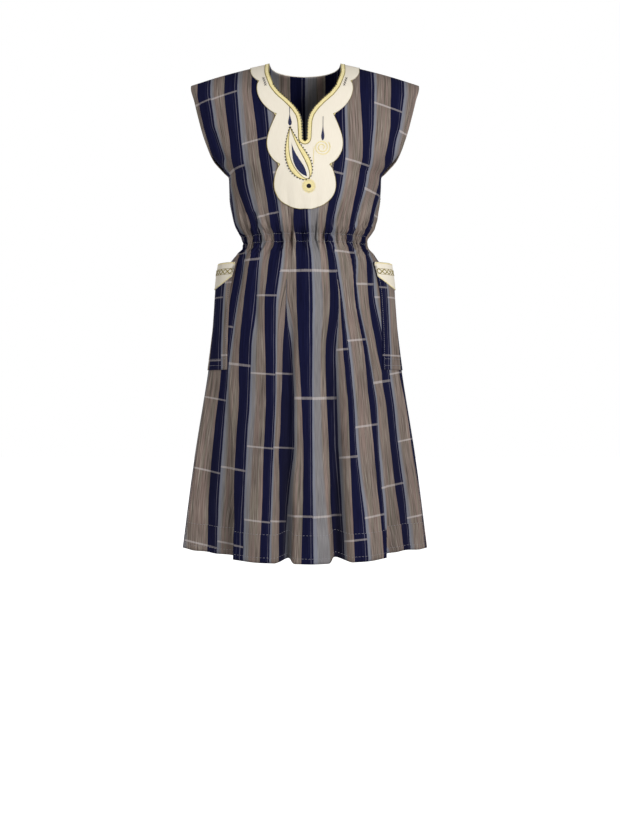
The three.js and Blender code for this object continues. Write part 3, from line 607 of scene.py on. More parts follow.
@functools.cache
def cloth_coordinates(side):
    """Distances across and down the flat cloth for each point of a panel, in millimetres."""
    _, _, _, numbers, gs, points = panel(side)
    across, down = np.zeros(len(points)), np.zeros(len(points))
    tops = len(TOP_SHARES) - 1
    length = None
    for row, ids in enumerate(numbers):
        p = points[ids]
        x, z = p[:, 0], p[:, 2]
        slant = shoulder_z(x) - SHOULDER_NECK_Z
        down[ids] = SHOULDER_NECK_Z - z + slant * slant_share(z)
        if row >= tops:
            step = p - points[numbers[row - 1]] if length is not None else np.zeros_like(p)
            wider = np.hypot(step[:, 0], step[:, 2]) - np.abs(step[:, 2])
            flare = np.where(z < POCKET_TOP_Z + 20, wider, 0)
            length = flare if length is None else length + flare
            down[ids] += length
    if side == "back":
        z = points[:, 2]
        return np.sign(gs) * np.abs(gs) ** BACK_CROWDING * BACK_WIDTHS(z), down
    for ids in numbers[:tops]:
        for n in ids:
            kx, ku = strip_knots(points[n, 2])
            across[n] = beyond_knots(points[n, 0], kx, ku, SIDE_RATE, SIDE_RATE)
    runs, knots = [], []
    for ids in numbers[tops:]:
        p = points[ids]
        kx, _ = strip_knots(float(p[:, 2].mean()))
        runs.append(run_of(p))
        knots.append(np.interp(kx, np.maximum.accumulate(p[:, 0]), runs[-1]))
    middle = np.array([run[HALF_COLUMNS] for run in runs])[:, None]
    for ids, run, ks in zip(numbers[tops:], runs, evened(np.array(knots) - middle) + middle):
        x, z = points[ids, 0], points[ids, 2]
        level = float(z.mean())
        kx, ku = strip_knots(level)
        right = SIDE_RATE + WAIST_RATE * float(np.exp(-(((level - WAIST_Z) / WAIST_REACH) ** 2)))
        by_pocket, by_hem = (float(ease((z0 - level) / long)) for z0, long in (POCKET_RATE_Z, HEM_RATE_Z))
        left = mix(right, POCKET_RATE, by_pocket) - HEM_RATE * by_hem
        if level > GORE_START_Z:
            ks[[7, 12]] = ks[[6, 11]] + 1e-3
        by_run = beyond_knots(run, np.maximum.accumulate(ks), ku, left, right)
        by_x = beyond_knots(x, kx, ku, SIDE_RATE, SIDE_RATE)
        across[ids] = mix(by_x, by_run, ease((SLIT_FOOT_Z - z) / 60))
    return across, down


def evened(rows, reach=4):
    """Rows of values, each averaged with the rows up to some reach above and below."""
    padded = np.concatenate([np.repeat(rows[:1], reach, 0), rows, np.repeat(rows[-1:], reach, 0)])
    return np.mean([padded[k : k + len(rows)] for k in range(2 * reach + 1)], 0)


def slant_share(z):
    """How far the wefts still follow the slope of the shoulders at a height."""
    return 1 - ease((SLANT_END_Z - z) / SLANT_FADE)


def weft_height(side, strip, x, z):
    """The height at which a point counts for its strip's wefts, level with the strip's middle."""
    middles, levels = np.zeros_like(z), np.round(z / MIDDLE_STEP) * MIDDLE_STEP
    for k in np.unique(strip):
        here = strip == k
        for level in np.unique(levels[here]):
            at = here & (levels == level)
            u = (k + 0.5) * STRIP
            if side == "front":
                kx, ku = strip_knots(level)
                middles[at] = beyond_knots(u, ku, kx, OUTER_STRIP_SHOWS, OUTER_STRIP_SHOWS)
            else:
                middles[at] = u / float(BACK_WIDTHS(level)) * float(half(level))
    outward = np.clip(middles / SKIRT_TILT["reach"], -1, 1)
    tilt = SKIRT_TILT["most"] * outward * ease((SKIRT_TILT["from_z"] - z) / SKIRT_TILT["over"])
    slant = (shoulder_z(x) - shoulder_z(middles)) * slant_share(z)
    return z - slant - tilt * (x - middles)


def unwrapped(values, period):
    """The corner values of faces brought within half a period of their first corner."""
    first = values[:, :1]
    return values - period * np.round((values - first) / period)


def phase_between(lines, at):
    """A value that is whole at each line and half way between them."""
    lines = np.sort(lines)
    lines = np.concatenate([[lines[0] - WEFT_END_GAP], lines, [lines[-1] + WEFT_END_GAP]])
    steps = np.concatenate([[-0.5], np.arange(len(lines) - 2), [len(lines) - 2.5]])
    return np.interp(at, lines, steps)


def weft_phase(strip, height, shift=0.0):
    """A value that is whole where a pale weft crosses the strip."""
    phase = np.zeros_like(height)
    for k in np.unique(strip):
        here = strip == k
        phase[here] = phase_between(shift - np.array(WEFTS[int(np.clip(k, -5, 4))]), -height[here])
    return phase


# ---------------------------------------------------------------- mesh helpers


def new_piece(name, points, faces, material, uvs):
    """A mesh piece from points in millimetres; uvs maps a layer's name to values for each face corner."""
    mesh = bpy.data.meshes.new(name)
    mesh.from_pydata((np.asarray(points) * MM).tolist(), [], [list(map(int, f)) for f in faces])
    for layer, values in uvs.items():
        mesh.uv_layers.new(name=layer).data.foreach_set("uv", np.asarray(values, np.float32).ravel())
    mesh.update()
    mesh.polygons.foreach_set("use_smooth", [True] * len(mesh.polygons))
    piece = bpy.data.objects.new(name, mesh)
    bpy.context.scene.collection.objects.link(piece)
    mesh.materials.append(material)
    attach(piece, "root")
    return piece


def thicken(piece, thickness):
    wall = piece.modifiers.new("Cloth thickness", "SOLIDIFY")
    wall.thickness = thickness * MM
    wall.offset = -1
    wall.use_even_offset = False


def tree_of(points, quads):
    return BVHTree.FromPolygons(points.tolist(), quads.tolist())


@functools.cache
def panel_tree(side):
    points, quads, *_ = panel(side)
    return tree_of(points, quads)


class Laid:
    """Lays flat points over a surface: each goes to the nearest place of the surface, then out from it."""

    def __init__(self, tree, guess):
        self.tree, self.guess = tree, guess

    def at(self, flat, lift):
        start = self.guess(flat)
        lift = np.broadcast_to(lift, (len(start),))
        out = np.empty((len(start), 3))
        for n, (p, h) in enumerate(zip(start, lift)):
            spot, way, _, _ = self.tree.find_nearest(Vector(p))
            out[n] = spot + way * float(h)
        return out


def over_panel(side):
    return Laid(panel_tree(side), lambda flat: upper_point(side, flat[:, 0], flat[:, 1]))


def skin_faces(rings, sides):
    """Faces round a closed skin of rings of points, with both ends shut."""
    ids = np.arange(rings * sides).reshape(rings, sides)
    round_it = grid_faces(np.concatenate([ids, ids[:, :1]], 1)).tolist()
    return [*round_it, ids[0].tolist(), ids[-1][::-1].tolist()]


def ribbon(flat, half_width, rise, laid, lift, profile=(0, 0.7, 0.92, 1, 0.92, 0.7, 0)):
    """A raised band along a flat line: points, faces, and distances along and across it."""
    flat = np.asarray(flat, float)
    n, m = len(flat), len(profile)
    half_width = np.broadcast_to(half_width, (n,))
    side = offset(flat, 1.0) - flat
    offsets = np.sin(np.linspace(-np.pi / 2, np.pi / 2, m))
    spots = flat[:, None] + side[:, None] * (offsets[None, :, None] * half_width[:, None, None])
    full = np.minimum(1, half_width / max(half_width.max() * 0.5, 1e-9))
    lifts = lift + (np.asarray(profile)[None] * rise * full[:, None]).reshape(-1)
    points = laid.at(spots.reshape(-1, 2), lifts)
    uv = np.stack([np.repeat(run_of(flat), m), np.tile(offsets, n) * np.repeat(half_width, m)], -1) * MM
    return points, skin_faces(n, m), uv


def tube(path, radius, sides=6):
    """A thread along a line of points in space: points, faces, and distances along and round it."""
    path = np.asarray(path, float)
    n = len(path)
    radius = np.broadcast_to(radius, (n,))
    step = steps_of(path)
    one = np.cross(step, np.array([0.31, -0.9, 0.3]))
    one /= np.maximum(np.linalg.norm(one, axis=1, keepdims=True), 1e-9)
    two = np.cross(step, one)
    turns = np.linspace(0, 2 * np.pi, sides, endpoint=False)[None, :, None]
    ring = one[:, None] * np.cos(turns) + two[:, None] * np.sin(turns)
    points = (path[:, None] + ring * radius[:, None, None]).reshape(-1, 3)
    uv = np.stack([np.repeat(run_of(path), sides), np.tile(np.linspace(0, 1, sides), n)], -1) * MM
    return points, skin_faces(n, sides), uv


def joined(parts):
    """Several (points, faces, uv) made into one."""
    points, faces, corner_uv, start = [], [], [], 0
    for p, f, uv in parts:
        points.append(p)
        faces += [[i + start for i in face] for face in f]
        corner_uv.append(np.concatenate([uv[face] for face in f]))
        start += len(p)
    return np.concatenate(points), faces, np.concatenate(corner_uv)


def thread_piece(name, parts, kind):
    """One piece of many bands or stitches, in one of the threads."""
    points, faces, uv = joined(parts)
    return new_piece(name, points, faces, thread(kind), {"thread": uv})


def dashes(path, long, gap, radius):
    """A run of stitches along a line in space, as short rounded threads."""
    path = np.asarray(path, float)
    total = float(np.linalg.norm(np.diff(path, axis=0), axis=1).sum())
    count = max(1, int(total / (long + gap)))
    starts = (np.arange(count) + 0.5) * (total / count) - long / 2
    shares = (starts[:, None] + long * np.array([0, 0.2, 0.8, 1])[None]) / total
    spots = along(path, shares.ravel()).reshape(count, 4, 3)
    return [tube(s, radius * np.array([0.45, 1, 1, 0.45]), 5) for s in spots]


# ---------------------------------------------------------------- materials


FULL_TURN = 6.2832
# How far painted shade darkens the strip cloth's colour deepest in the skirt's folds.
FOLD_SHADE = 0.42
FLOAT, VECTOR, COLOR = "NodeSocketFloat", "NodeSocketVector", "NodeSocketColor"


class Tree:
    """Short ways to add and join shader nodes."""

    def __init__(self, nodes, links):
        self.nodes, self.links = nodes, links

    def node(self, kind, **settings):
        made = self.nodes.new(kind)
        for key, value in settings.items():
            setattr(made, key, value)
        return made

    def feed(self, socket, value):
        if isinstance(value, bpy.types.NodeSocket):
            self.links.new(value, socket)
        else:
            socket.default_value = value

    def math(self, kind, a, b=0.0):
        made = self.node("ShaderNodeMath", operation=kind)
        self.feed(made.inputs[0], a)
        self.feed(made.inputs[1], b)
        return made.outputs[0]

    def mix(self, share, a, b, blend="MIX"):
        made = self.node("ShaderNodeMix", data_type="RGBA", blend_type=blend, clamp_factor=True)
        self.feed(made.inputs[0], share)
        self.feed(made.inputs[6], a)
        self.feed(made.inputs[7], b)
        return made.outputs[2]

    def noise(self, vector, scale, detail=2.0, rough=0.5):
        made = self.node("ShaderNodeTexNoise", noise_dimensions="3D")
        self.feed(made.inputs["Vector"], vector)
        made.inputs["Scale"].default_value = scale
        made.inputs["Detail"].default_value = detail
        made.inputs["Roughness"].default_value = rough
        return made.outputs["Fac"]

    def span(self, value, low, high, to_low=0.0, to_high=1.0):
        made = self.node("ShaderNodeMapRange", clamp=True)
        self.feed(made.inputs["Value"], value)
        for key, number in zip(("From Min", "From Max", "To Min", "To Max"), (low, high, to_low, to_high)):
            self.feed(made.inputs[key], number)
        return made.outputs["Result"]

    def stretched(self, vector, scale):
        made = self.node("ShaderNodeVectorMath", operation="MULTIPLY")
        self.feed(made.inputs[0], vector)
        made.inputs[1].default_value = scale
        return made.outputs[0]

    def streaks(self, vector, scale, detail=1.0, rough=0.5):
        return self.noise(self.stretched(vector, (*scale, 1)), 1.0, detail, rough)

    def parts(self, vector):
        made = self.node("ShaderNodeSeparateXYZ")
        self.feed(made.inputs[0], vector)
        return made.outputs

    def layer(self, name):
        return self.node("ShaderNodeUVMap", uv_map=name).outputs[0]


def new_group(name, inputs, outputs):
    """A shader node group with its sockets: (name, kind, default) in, (name, kind) out."""
    group = bpy.data.node_groups.new(name, "ShaderNodeTree")
    for label, kind, default in inputs:
        socket = group.interface.new_socket(name=label, in_out="INPUT", socket_type=kind)
        if default is not None:
            socket.default_value = default
    for label, kind in outputs:
        group.interface.new_socket(name=label, in_out="OUTPUT", socket_type=kind)
    tree = Tree(group.nodes, group.links)
    return group, tree, tree.node("NodeGroupInput").outputs, tree.node("NodeGroupOutput").inputs


@functools.cache
def weave_group():
    """Crossed threads of a plain weave: how high they stand, and how pale each thread is."""
    group, t, given, out = new_group(
        "Plain weave",
        [("Cloth", VECTOR, None), ("Threads per metre", FLOAT, 900.0), ("Warp share", FLOAT, 0.5)],
        [("Height", FLOAT), ("Thread tone", FLOAT)],
    )
    parts = t.parts(given["Cloth"])
    turns = t.math("MULTIPLY", given["Threads per metre"], FULL_TURN)
    warp = t.math("SINE", t.math("MULTIPLY", parts["X"], turns))
    weft = t.math("SINE", t.math("MULTIPLY", parts["Y"], turns))
    both = t.math("MULTIPLY", warp, weft)
    height = t.math("ADD", t.math("MULTIPLY", warp, given["Warp share"]), t.math("MULTIPLY", both, 0.5))
    t.feed(out["Height"], height)
    t.feed(out["Thread tone"], t.streaks(given["Cloth"], (900, 60)))
    return group


@functools.cache
def wear_group():
    """Unevenness of worn cloth: large soft patches and fine specks."""
    group, t, given, out = new_group(
        "Cloth unevenness", [("Cloth", VECTOR, None)], [("Patches", FLOAT), ("Specks", FLOAT)]
    )
    t.feed(out["Patches"], t.noise(given["Cloth"], 9.0, 3.0))
    t.feed(out["Specks"], t.noise(given["Cloth"], 420.0, 2.0, 0.7))
    return group


@functools.cache
def bands_group():
    """The bands of the woven strips, their marled threads and their pale wefts."""
    group, t, given, out = new_group(
        "Woven strips",
        [
            ("Cloth", VECTOR, None), ("Weft", VECTOR, None), ("Strip width", FLOAT, 0.066),
            ("Navy", COLOR, (0.02, 0.02, 0.1, 1)), ("Taupe", COLOR, (0.2, 0.17, 0.15, 1)),
            ("Grey blue", COLOR, (0.2, 0.22, 0.28, 1)), ("Pale", COLOR, (0.6, 0.55, 0.5, 1)),
        ],
        [("Color", COLOR), ("Seam", FLOAT), ("Slub", FLOAT)],
    )
    u = t.parts(given["Cloth"])["X"]
    # the bands' edges wander by about a millimetre; place runs from 0 to 1 over each strip
    wander = t.math("MULTIPLY", t.math("SUBTRACT", t.streaks(given["Cloth"], (30, 14), 2.0), 0.5), 0.0022)
    place = t.math("FRACT", t.math("DIVIDE", t.math("ADD", u, wander), given["Strip width"]))

    def between(low, high, soft=0.008):
        rise = t.span(place, low - soft, low + soft)
        return t.math("MULTIPLY", rise, t.span(place, high - soft, high + soft, 1.0, 0.0))

    navy = between(1 - NAVY / STRIP, 1.1, 0.007)
    strip = t.math("FLOOR", t.math("DIVIDE", u, given["Strip width"]))
    chance = t.node("ShaderNodeTexWhiteNoise", noise_dimensions="1D")
    t.feed(chance.inputs["W"], t.math("ADD", strip, 3.37))
    edge = t.math("MULTIPLY", t.math("POWER", chance.outputs["Value"], 2.0), 0.2)
    middle = t.span(t.math("ABSOLUTE", strip), 0.2, 0.6, 0.24, 0.0)
    edge = t.math("ADD", t.math("MAXIMUM", edge, middle), 0.075)
    grey = t.span(t.math("SUBTRACT", place, edge), -0.02, 0.03, 1.0, 0.0)
    blue = between(-1.0, 0.07, 0.02)
    # marled threads: long streaks down the taupe
    streak = t.streaks(given["Cloth"], (620, 11), 2.0, 0.6)
    fine = t.streaks(given["Cloth"], (1500, 26))
    slub = t.streaks(given["Cloth"], (330, 34), 3.0, 0.65)
    marl = t.math("ADD", t.math("MULTIPLY", streak, 0.62), t.math("MULTIPLY", fine, 0.38))
    dark = t.mix(t.span(marl, 0.36, 0.54), (0.06, 0.048, 0.043, 1), given["Taupe"])
    light = t.mix(t.span(marl, 0.54, 0.68), dark, (0.375, 0.325, 0.29, 1))
    hue = t.streaks(given["Cloth"], (210, 6))
    pinkish = t.mix(t.span(hue, 0.5, 0.62, 0.0, 0.5), light, (0.25, 0.175, 0.155, 1))
    olive = t.mix(t.span(hue, 0.32, 0.45, 0.38, 0.0), pinkish, (0.175, 0.165, 0.125, 1))
    taupe = t.mix(t.span(slub, 0.66, 0.74, 0.0, 0.55), olive, (0.05, 0.04, 0.05, 1))
    neutral = t.mix(t.span(fine, 0.35, 0.65), (0.15, 0.148, 0.158, 1), (0.235, 0.232, 0.245, 1))
    greyed = t.mix(t.math("MULTIPLY", grey, 0.85), taupe, neutral)
    greyed = t.mix(t.math("MULTIPLY", blue, 0.8), greyed, given["Grey blue"])
    navy_tone = t.mix(t.span(streak, 0.45, 0.72, 0.0, 0.45), given["Navy"], (0.013, 0.0155, 0.058, 1))
    line = t.math("MULTIPLY", between(0.912, 0.93, 0.004), t.span(fine, 0.3, 0.55, 0.12, 0.5))
    lined = t.mix(line, navy_tone, (0.25, 0.24, 0.3, 1))
    second = t.math("MULTIPLY", between(0.84, 0.852, 0.004), t.span(streak, 0.44, 0.6, 0.0, 0.14))
    lined = t.mix(second, lined, (0.2, 0.2, 0.28, 1))
    banded = t.mix(navy, greyed, lined)
    # a pale weft lies wherever the weft phase is whole
    phase = t.parts(given["Weft"])["Y"]
    off = t.math("ABSOLUTE", t.math("SUBTRACT", phase, t.math("ROUND", phase)))
    ragged = t.streaks(given["Cloth"], (900, 300))
    near = t.span(t.math("ADD", off, t.math("MULTIPLY", ragged, 0.006)), 0.0125, 0.0165, 1.0, 0.0)
    worn = t.math("MULTIPLY", near, t.span(fine, 0.25, 0.6, 0.34, 0.72))
    worn = t.math("MULTIPLY", worn, t.span(navy, 0.0, 1.0, 1.0, 0.56))
    color = t.mix(worn, banded, given["Pale"])
    seam = t.math("ADD", t.span(place, 0.0, 0.02, 1.0, 0.0), t.span(place, 0.98, 1.0))
    t.feed(out["Color"], t.mix(t.math("MULTIPLY", seam, 0.35), color, (0.03, 0.03, 0.05, 1)))
    t.feed(out["Seam"], seam)
    t.feed(out["Slub"], slub)
    return group


@functools.cache
def twist_group():
    """Satin stitches laid side by side, as height and tone along a thread's run; the tone is partly random
    and partly painted shade, darker in the grooves between stitches.
    """
    group, t, given, out = new_group(
        "Satin stitches",
        [("Thread", VECTOR, None), ("Stitches per metre", FLOAT, 1800.0), ("Slant", FLOAT, 0.6)],
        [("Height", FLOAT), ("Tone", FLOAT)],
    )
    parts = t.parts(given["Thread"])
    place = t.math("ADD", parts["X"], t.math("MULTIPLY", parts["Y"], given["Slant"]))
    turns = t.math("MULTIPLY", given["Stitches per metre"], FULL_TURN)
    wave = t.math("SINE", t.math("MULTIPLY", place, turns))
    t.feed(out["Height"], wave)
    tone = t.streaks(given["Thread"], (1200, 200), 2.0)
    # the tone is random streaks plus painted shade from the stitches' height wave, darker in the grooves
    # between them
    t.feed(out["Tone"], t.math("ADD", t.math("MULTIPLY", tone, 0.7), t.math("MULTIPLY", wave, 0.12)))
    return group


def new_material(name, sheen, roughness):
    """An empty material with its Principled BSDF: returns (material, tree, shader inputs)."""
    material = bpy.data.materials.new(name)
    material.use_nodes = True
    material.node_tree.nodes.clear()
    t = Tree(material.node_tree.nodes, material.node_tree.links)
    shader = t.node("ShaderNodeBsdfPrincipled")
    shader.inputs["Roughness"].default_value = roughness
    shader.inputs["Sheen Weight"].default_value = sheen
    shader.inputs["Sheen Roughness"].default_value = 0.5
    shader.inputs["Specular IOR Level"].default_value = 0.04
    t.links.new(shader.outputs[0], t.node("ShaderNodeOutputMaterial").inputs["Surface"])
    return material, t, shader.inputs


def use_group(t, group, **values):
    """A node of a group, fed by name with spaces for underscores: returns its outputs."""
    made = t.node("ShaderNodeGroup")
    made.node_tree = group
    for key, value in values.items():
        t.feed(made.inputs[key.replace("_", " ")], value)
    return made.outputs


def bump(t, shader, height, distance, strength):
    made = t.node("ShaderNodeBump")
    made.inputs["Distance"].default_value = distance
    made.inputs["Strength"].default_value = strength
    t.feed(made.inputs["Height"], height)
    t.links.new(made.outputs[0], shader["Normal"])


def colour(value):
    return (*value, 1.0)


@functools.cache
def strip_cloth():
    """The strip-woven cloth, with painted shade darkening its colour deep in the skirt's folds."""
    cloth = bpy.context.scene.smock_cloth
    material, t, shader = new_material("Strip cloth", 0.0, 0.92)
    place, weft = t.layer("cloth"), t.layer("weft")
    bands = use_group(
        t, bands_group(), Cloth=place, Weft=weft, Strip_width=cloth.strip_width, Navy=colour(cloth.navy),
        Taupe=colour(cloth.taupe), Grey_blue=colour(cloth.grey_blue), Pale=colour(cloth.pale_weft),
    )
    threads = cloth.threads_per_metre
    weave = use_group(t, weave_group(), Cloth=place, Threads_per_metre=threads, Warp_share=0.7)
    wear = use_group(t, wear_group(), Cloth=place)
    patches = t.mix(wear["Patches"], (0.86, 0.86, 0.86, 1), (1.12, 1.12, 1.1, 1))
    toned = t.mix(1.0, bands["Color"], patches, "MULTIPLY")
    # painted shade: the cloth's colour goes towards near black deep in the skirt's folds, by up to
    # FOLD_SHADE
    painted_fold_shade = t.span(t.parts(weft)["X"], 0.12, 0.8, 0.0, FOLD_SHADE)
    t.feed(shader["Base Color"], t.mix(painted_fold_shade, toned, (0.012, 0.011, 0.014, 1)))
    t.feed(shader["Roughness"], t.span(wear["Specks"], 0.3, 0.7, 0.82, 0.95))
    relief_of_yarn = t.math("MULTIPLY", t.math("SUBTRACT", bands["Slub"], bands["Seam"]), 1.4)
    bump(t, shader, t.math("ADD", weave["Height"], relief_of_yarn), 0.00022, 0.75)
    return material


@functools.cache
def cream_cloth():
    cloth = bpy.context.scene.smock_cloth
    material, t, shader = new_material("Cream cloth", 0.04, 0.85)
    place = t.layer("cloth")
    weave = use_group(t, weave_group(), Cloth=place, Threads_per_metre=1500.0, Warp_share=0.4)
    wear = use_group(t, wear_group(), Cloth=place)
    paler = colour(c * k for c, k in zip(cloth.cream, (1.07, 1.07, 1.09)))
    base = t.mix(wear["Patches"], colour(cloth.cream), paler)
    threads = t.mix(t.span(weave["Thread tone"], 0.35, 0.7, 0.0, 0.16), base, (0.62, 0.53, 0.39, 1))
    t.feed(shader["Base Color"], threads)
    t.feed(shader["Roughness"], t.span(wear["Specks"], 0.3, 0.7, 0.78, 0.9))
    bump(t, shader, t.math("ADD", weave["Height"], wear["Specks"]), 0.00012, 0.6)
    return material


# Each thread's material: name, tone or its setting, second tone, stitches per metre, slant.
THREADS = {
    "gold": ("Pale yellow thread", "pale_yellow", (0.80, 0.66, 0.30), 1500.0, 0.5),
    "olive": ("Olive gold thread", "olive_gold", None, 1600.0, 0.9),
    "navy": ("Navy thread", "navy", (0.03, 0.035, 0.1), 1700.0, 0.4),
    "black": ("Black thread", (0.012, 0.011, 0.016), (0.03, 0.028, 0.035), 2000.0, 1.0),
    "pale": ("Pale sewing thread", (0.34, 0.33, 0.36), None, 2400.0, 1.4),
    "dark": ("Dark sewing thread", (0.05, 0.048, 0.07), None, 2400.0, 1.4),
}
THREAD_ROUGHNESS = 0.5


@functools.cache
def thread(kind):
    """Embroidery or sewing thread of two near tones, with the stitches side by side."""
    name, tone, second, stitches, slant = THREADS[kind]
    if isinstance(tone, str):
        tone = tuple(getattr(bpy.context.scene.smock_embroidery, tone))
    material, t, shader = new_material(name, 0.15, THREAD_ROUGHNESS)
    satin = use_group(t, twist_group(), Thread=t.layer("thread"), Stitches_per_metre=stitches, Slant=slant)
    other = second or tuple(c * 0.62 for c in tone)
    # the base colour follows the satin tone, so it holds random streaks and the painted shade in the grooves
    # between stitches
    t.feed(shader["Base Color"], t.mix(t.span(satin["Tone"], 0.25, 0.5), colour(other), colour(tone)))
    rough = t.span(satin["Tone"], 0.2, 0.6, THREAD_ROUGHNESS + 0.1, THREAD_ROUGHNESS - 0.08)
    t.feed(shader["Roughness"], rough)
    bump(t, shader, satin["Height"], 0.00016, 0.7)
    return material


# ---------------------------------------------------------------- pieces


def fold_share(side, points):
    """How deep in a fold of the skirt each point lies, from 0 to 1: the mask of the shade painted into the
    strip cloth.
    """
    deepest = max(fold[3] for fold in FOLDS[side])
    return np.clip(folds_depth(side, points[:, 0], points[:, 2]) / deepest, 0, 1)


def make_panel(side):
    points, quads, *_ = panel(side)
    across, down = cloth_coordinates(side)
    u, v = across[quads], down[quads]
    spots = points[quads].reshape(-1, 3)
    x, z = spots[:, 0], spots[:, 2]
    if side == "front":
        u = np.where(z.reshape(-1, 4).mean(1)[:, None] > GORE_START_Z, unwrapped(u, STRIP), u)
    strip = np.repeat(np.floor(u.mean(1) / STRIP).astype(int), 4)
    height = weft_height(side, strip, x, z)
    if side == "front":
        phase, start = weft_phase(strip, height), 0.0
    else:
        phase, start = weft_phase(-1 - strip, height, BACK_WEFT_SHIFT), BACK_CLOTH_START
    piece = new_piece(f"{side}_cloth", points, quads, strip_cloth(), {
        "cloth": np.stack([u.ravel(), v.ravel()], -1) * MM + (0, start),
        # the weft layer's first value is the fold depth, which paints shade into the cloth's colour in the
        # folds
        "weft": np.stack([fold_share(side, spots), phase], -1),
    })
    thicken(piece, bpy.context.scene.smock_cloth.thickness * 1000)
    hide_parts(f"{side}_panel")
    return piece


def yoke_edge():
    """The scalloped edge of the front yoke's left half, from the shoulder seam to the tongue's foot."""
    points = [(YOKE_SHOULDER_X, float(shoulder_z(YOKE_SHOULDER_X)))]
    for (x0, z0, _, _), (x1, z1, swell, sag) in zip(YOKE_SCALLOPS, YOKE_SCALLOPS[1:]):
        if (x0, z0) == YOKE_SCALLOPS[0][:2]:
            z0 = points[0][1]
        long = np.hypot(x1 - x0, z1 - z0)
        out = np.array([z0 - z1, x1 - x0]) / long
        for t in np.linspace(0, 1, 25)[1:]:
            bulge = swell * np.sin(np.pi * t**sag) ** SCALLOP_ROUNDNESS if 0 < t < 1 else 0
            points.append((mix(x0, x1, t) + bulge * out[0], mix(z0, z1, t) + bulge * out[1]))
    return np.array(points)


def both_sides(line):
    """A line from the right shoulder to the left one, from its left half that ends on the middle."""
    line = np.asarray(line)
    return np.concatenate([line * (-1, 1), line[::-1][1:]])


def back_yoke_edge():
    """The curved edge of the back yoke's left half, from the shoulder seam to the middle."""
    b = BACK_YOKE
    end_x, end_z = b["shoulder_x"], float(shoulder_z(b["shoulder_x"]))
    angle = np.linspace(0, np.pi / 2, 60)
    z = end_z - b["below"] - (b["depth"] + BACK_NECK_DROP) * np.sin(angle) ** b["roundness"]
    return np.concatenate([[(end_x, end_z)], np.stack([end_x * np.cos(angle), z], -1)])


def back_neck_edge():
    x = NECK_HALF * np.cos(np.linspace(0, np.pi / 2, 60))
    return np.stack([x, back_neck_z(x)], -1)


def yoke_middle(neck, rim):
    """A line between neck and rim that passes inside the notches of the scallops."""
    eased = softened(rim, 30)
    gap = np.linalg.norm(eased - neck, axis=1)
    inside = eased + (offset(eased, -1.0) - eased) * np.minimum(22.0, gap / 2)[:, None]
    first = ease(np.linspace(0, 1, len(rim)) / 0.07)[:, None]
    return mix(mix(neck, rim, 0.5), inside, first)


@functools.cache
def yoke(side):
    """A yoke's outer face laid on its panel: points, quads and flat places."""
    if side == "front":
        shares = np.linspace(0, 1, 150)
        neck = along(NECKLINE, np.interp(shares, *YOKE_SPOKES))
        rim = along(yoke_edge(), shares)
        middle = yoke_middle(neck, rim)
    else:
        shares = np.linspace(0, 1, 81)
        neck, rim = along(back_neck_edge(), shares), along(back_yoke_edge(), shares)
        middle = mix(neck, rim, 0.5)
    lines = [mix(neck, middle, t) for t in np.linspace(0, 1, 15)[:-1]]
    lines += [mix(middle, rim, t) for t in np.linspace(0, 1, 14)]
    # the ends follow the shoulders' own line, and meet the other yoke's at the seam
    fade = np.maximum(0, 1 - shares / 0.06)[:, None] ** 2
    lines = [line + fade * (0, float(shoulder_z(line[0, 0])) - line[0, 1]) for line in lines]
    flat = np.array([both_sides(line) for line in lines])
    numbers = numbering(flat)
    flat = flat.reshape(-1, 2)
    lift = np.full(numbers.shape, YOKE_LIFT["cloth"])
    lift[0], lift[-1] = YOKE_LIFT["neck"], YOKE_LIFT["rim"]
    points = over_panel(side).at(flat, lift.ravel())
    points[numbers[:, [0, -1]], 1] = FACING[side] * SEAM_GAP / 2
    quads = grid_faces(numbers, flip=side == "back")
    if point_ways(points, quads)[len(points) // 2][1] * FACING[side] < 0:
        quads = quads[:, ::-1]
    return points, quads, flat


def make_yoke(side):
    points, quads, flat = yoke(side)
    uv = flat[quads].reshape(-1, 2) * MM
    piece = new_piece(f"{side}_yoke_cloth", points, quads, cream_cloth(), {"cloth": uv})
    thicken(piece, YOKE_THICKNESS)
    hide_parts(f"{side}_yoke")
    return piece


@functools.cache
def over_yoke(side):
    points, quads, _ = yoke(side)
    return Laid(tree_of(points, quads), lambda flat: upper_point(side, flat[:, 0], flat[:, 1]))


def neck_line(side, away, count=360):
    """A line that keeps its distance from the edge of the neck, from the right shoulder to the left."""
    edge_line = both_sides(NECKLINE if side == "front" else back_neck_edge())
    even = along(edge_line, np.linspace(0, 1, count))
    moved = offset(softened(even, 4), -away)
    return along(softened(moved, 6), np.linspace(0, 1, count))


def make_braid(side):
    e = bpy.context.scene.smock_embroidery
    laid, wide = over_yoke(side), e.braid_width * 1000
    count = 300 if side == "front" else 120
    middle = neck_line(side, wide / 2, count)
    band = ribbon(middle, wide / 2 - 0.6, 0.75, laid, ON_CLOTH, (0, 0.86, 0.96, 0.9, 0.96, 0.86, 0))
    piece = thread_piece(f"{side}_neck_braid", [band], "gold")
    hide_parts(f"{side}_neck_binding")
    edges = ((1.2, 0.3), (wide - 0.7, 0.2))
    cords = [ribbon(neck_line(side, away, count), 0.8, 0.95, laid, low) for away, low in edges]
    thread_piece(f"{side}_braid_cords", cords, "olive")


def picot(line, laid, lift):
    """A row of short thick loops of thread along a flat line."""
    return dashes(laid.at(line, lift), PICOT["long"], PICOT["gap"], PICOT["radius"])


def bowed(tip, foot, bow, count):
    """A line between two places, bent to one side by a share of its length."""
    t = np.linspace(0, 1, count)[:, None]
    tip, foot = np.array(tip, float), np.array(foot, float)
    aside = np.array([tip[1] - foot[1], foot[0] - tip[0]])
    return mix(tip, foot, t) + np.sin(np.pi * t) * bow * aside


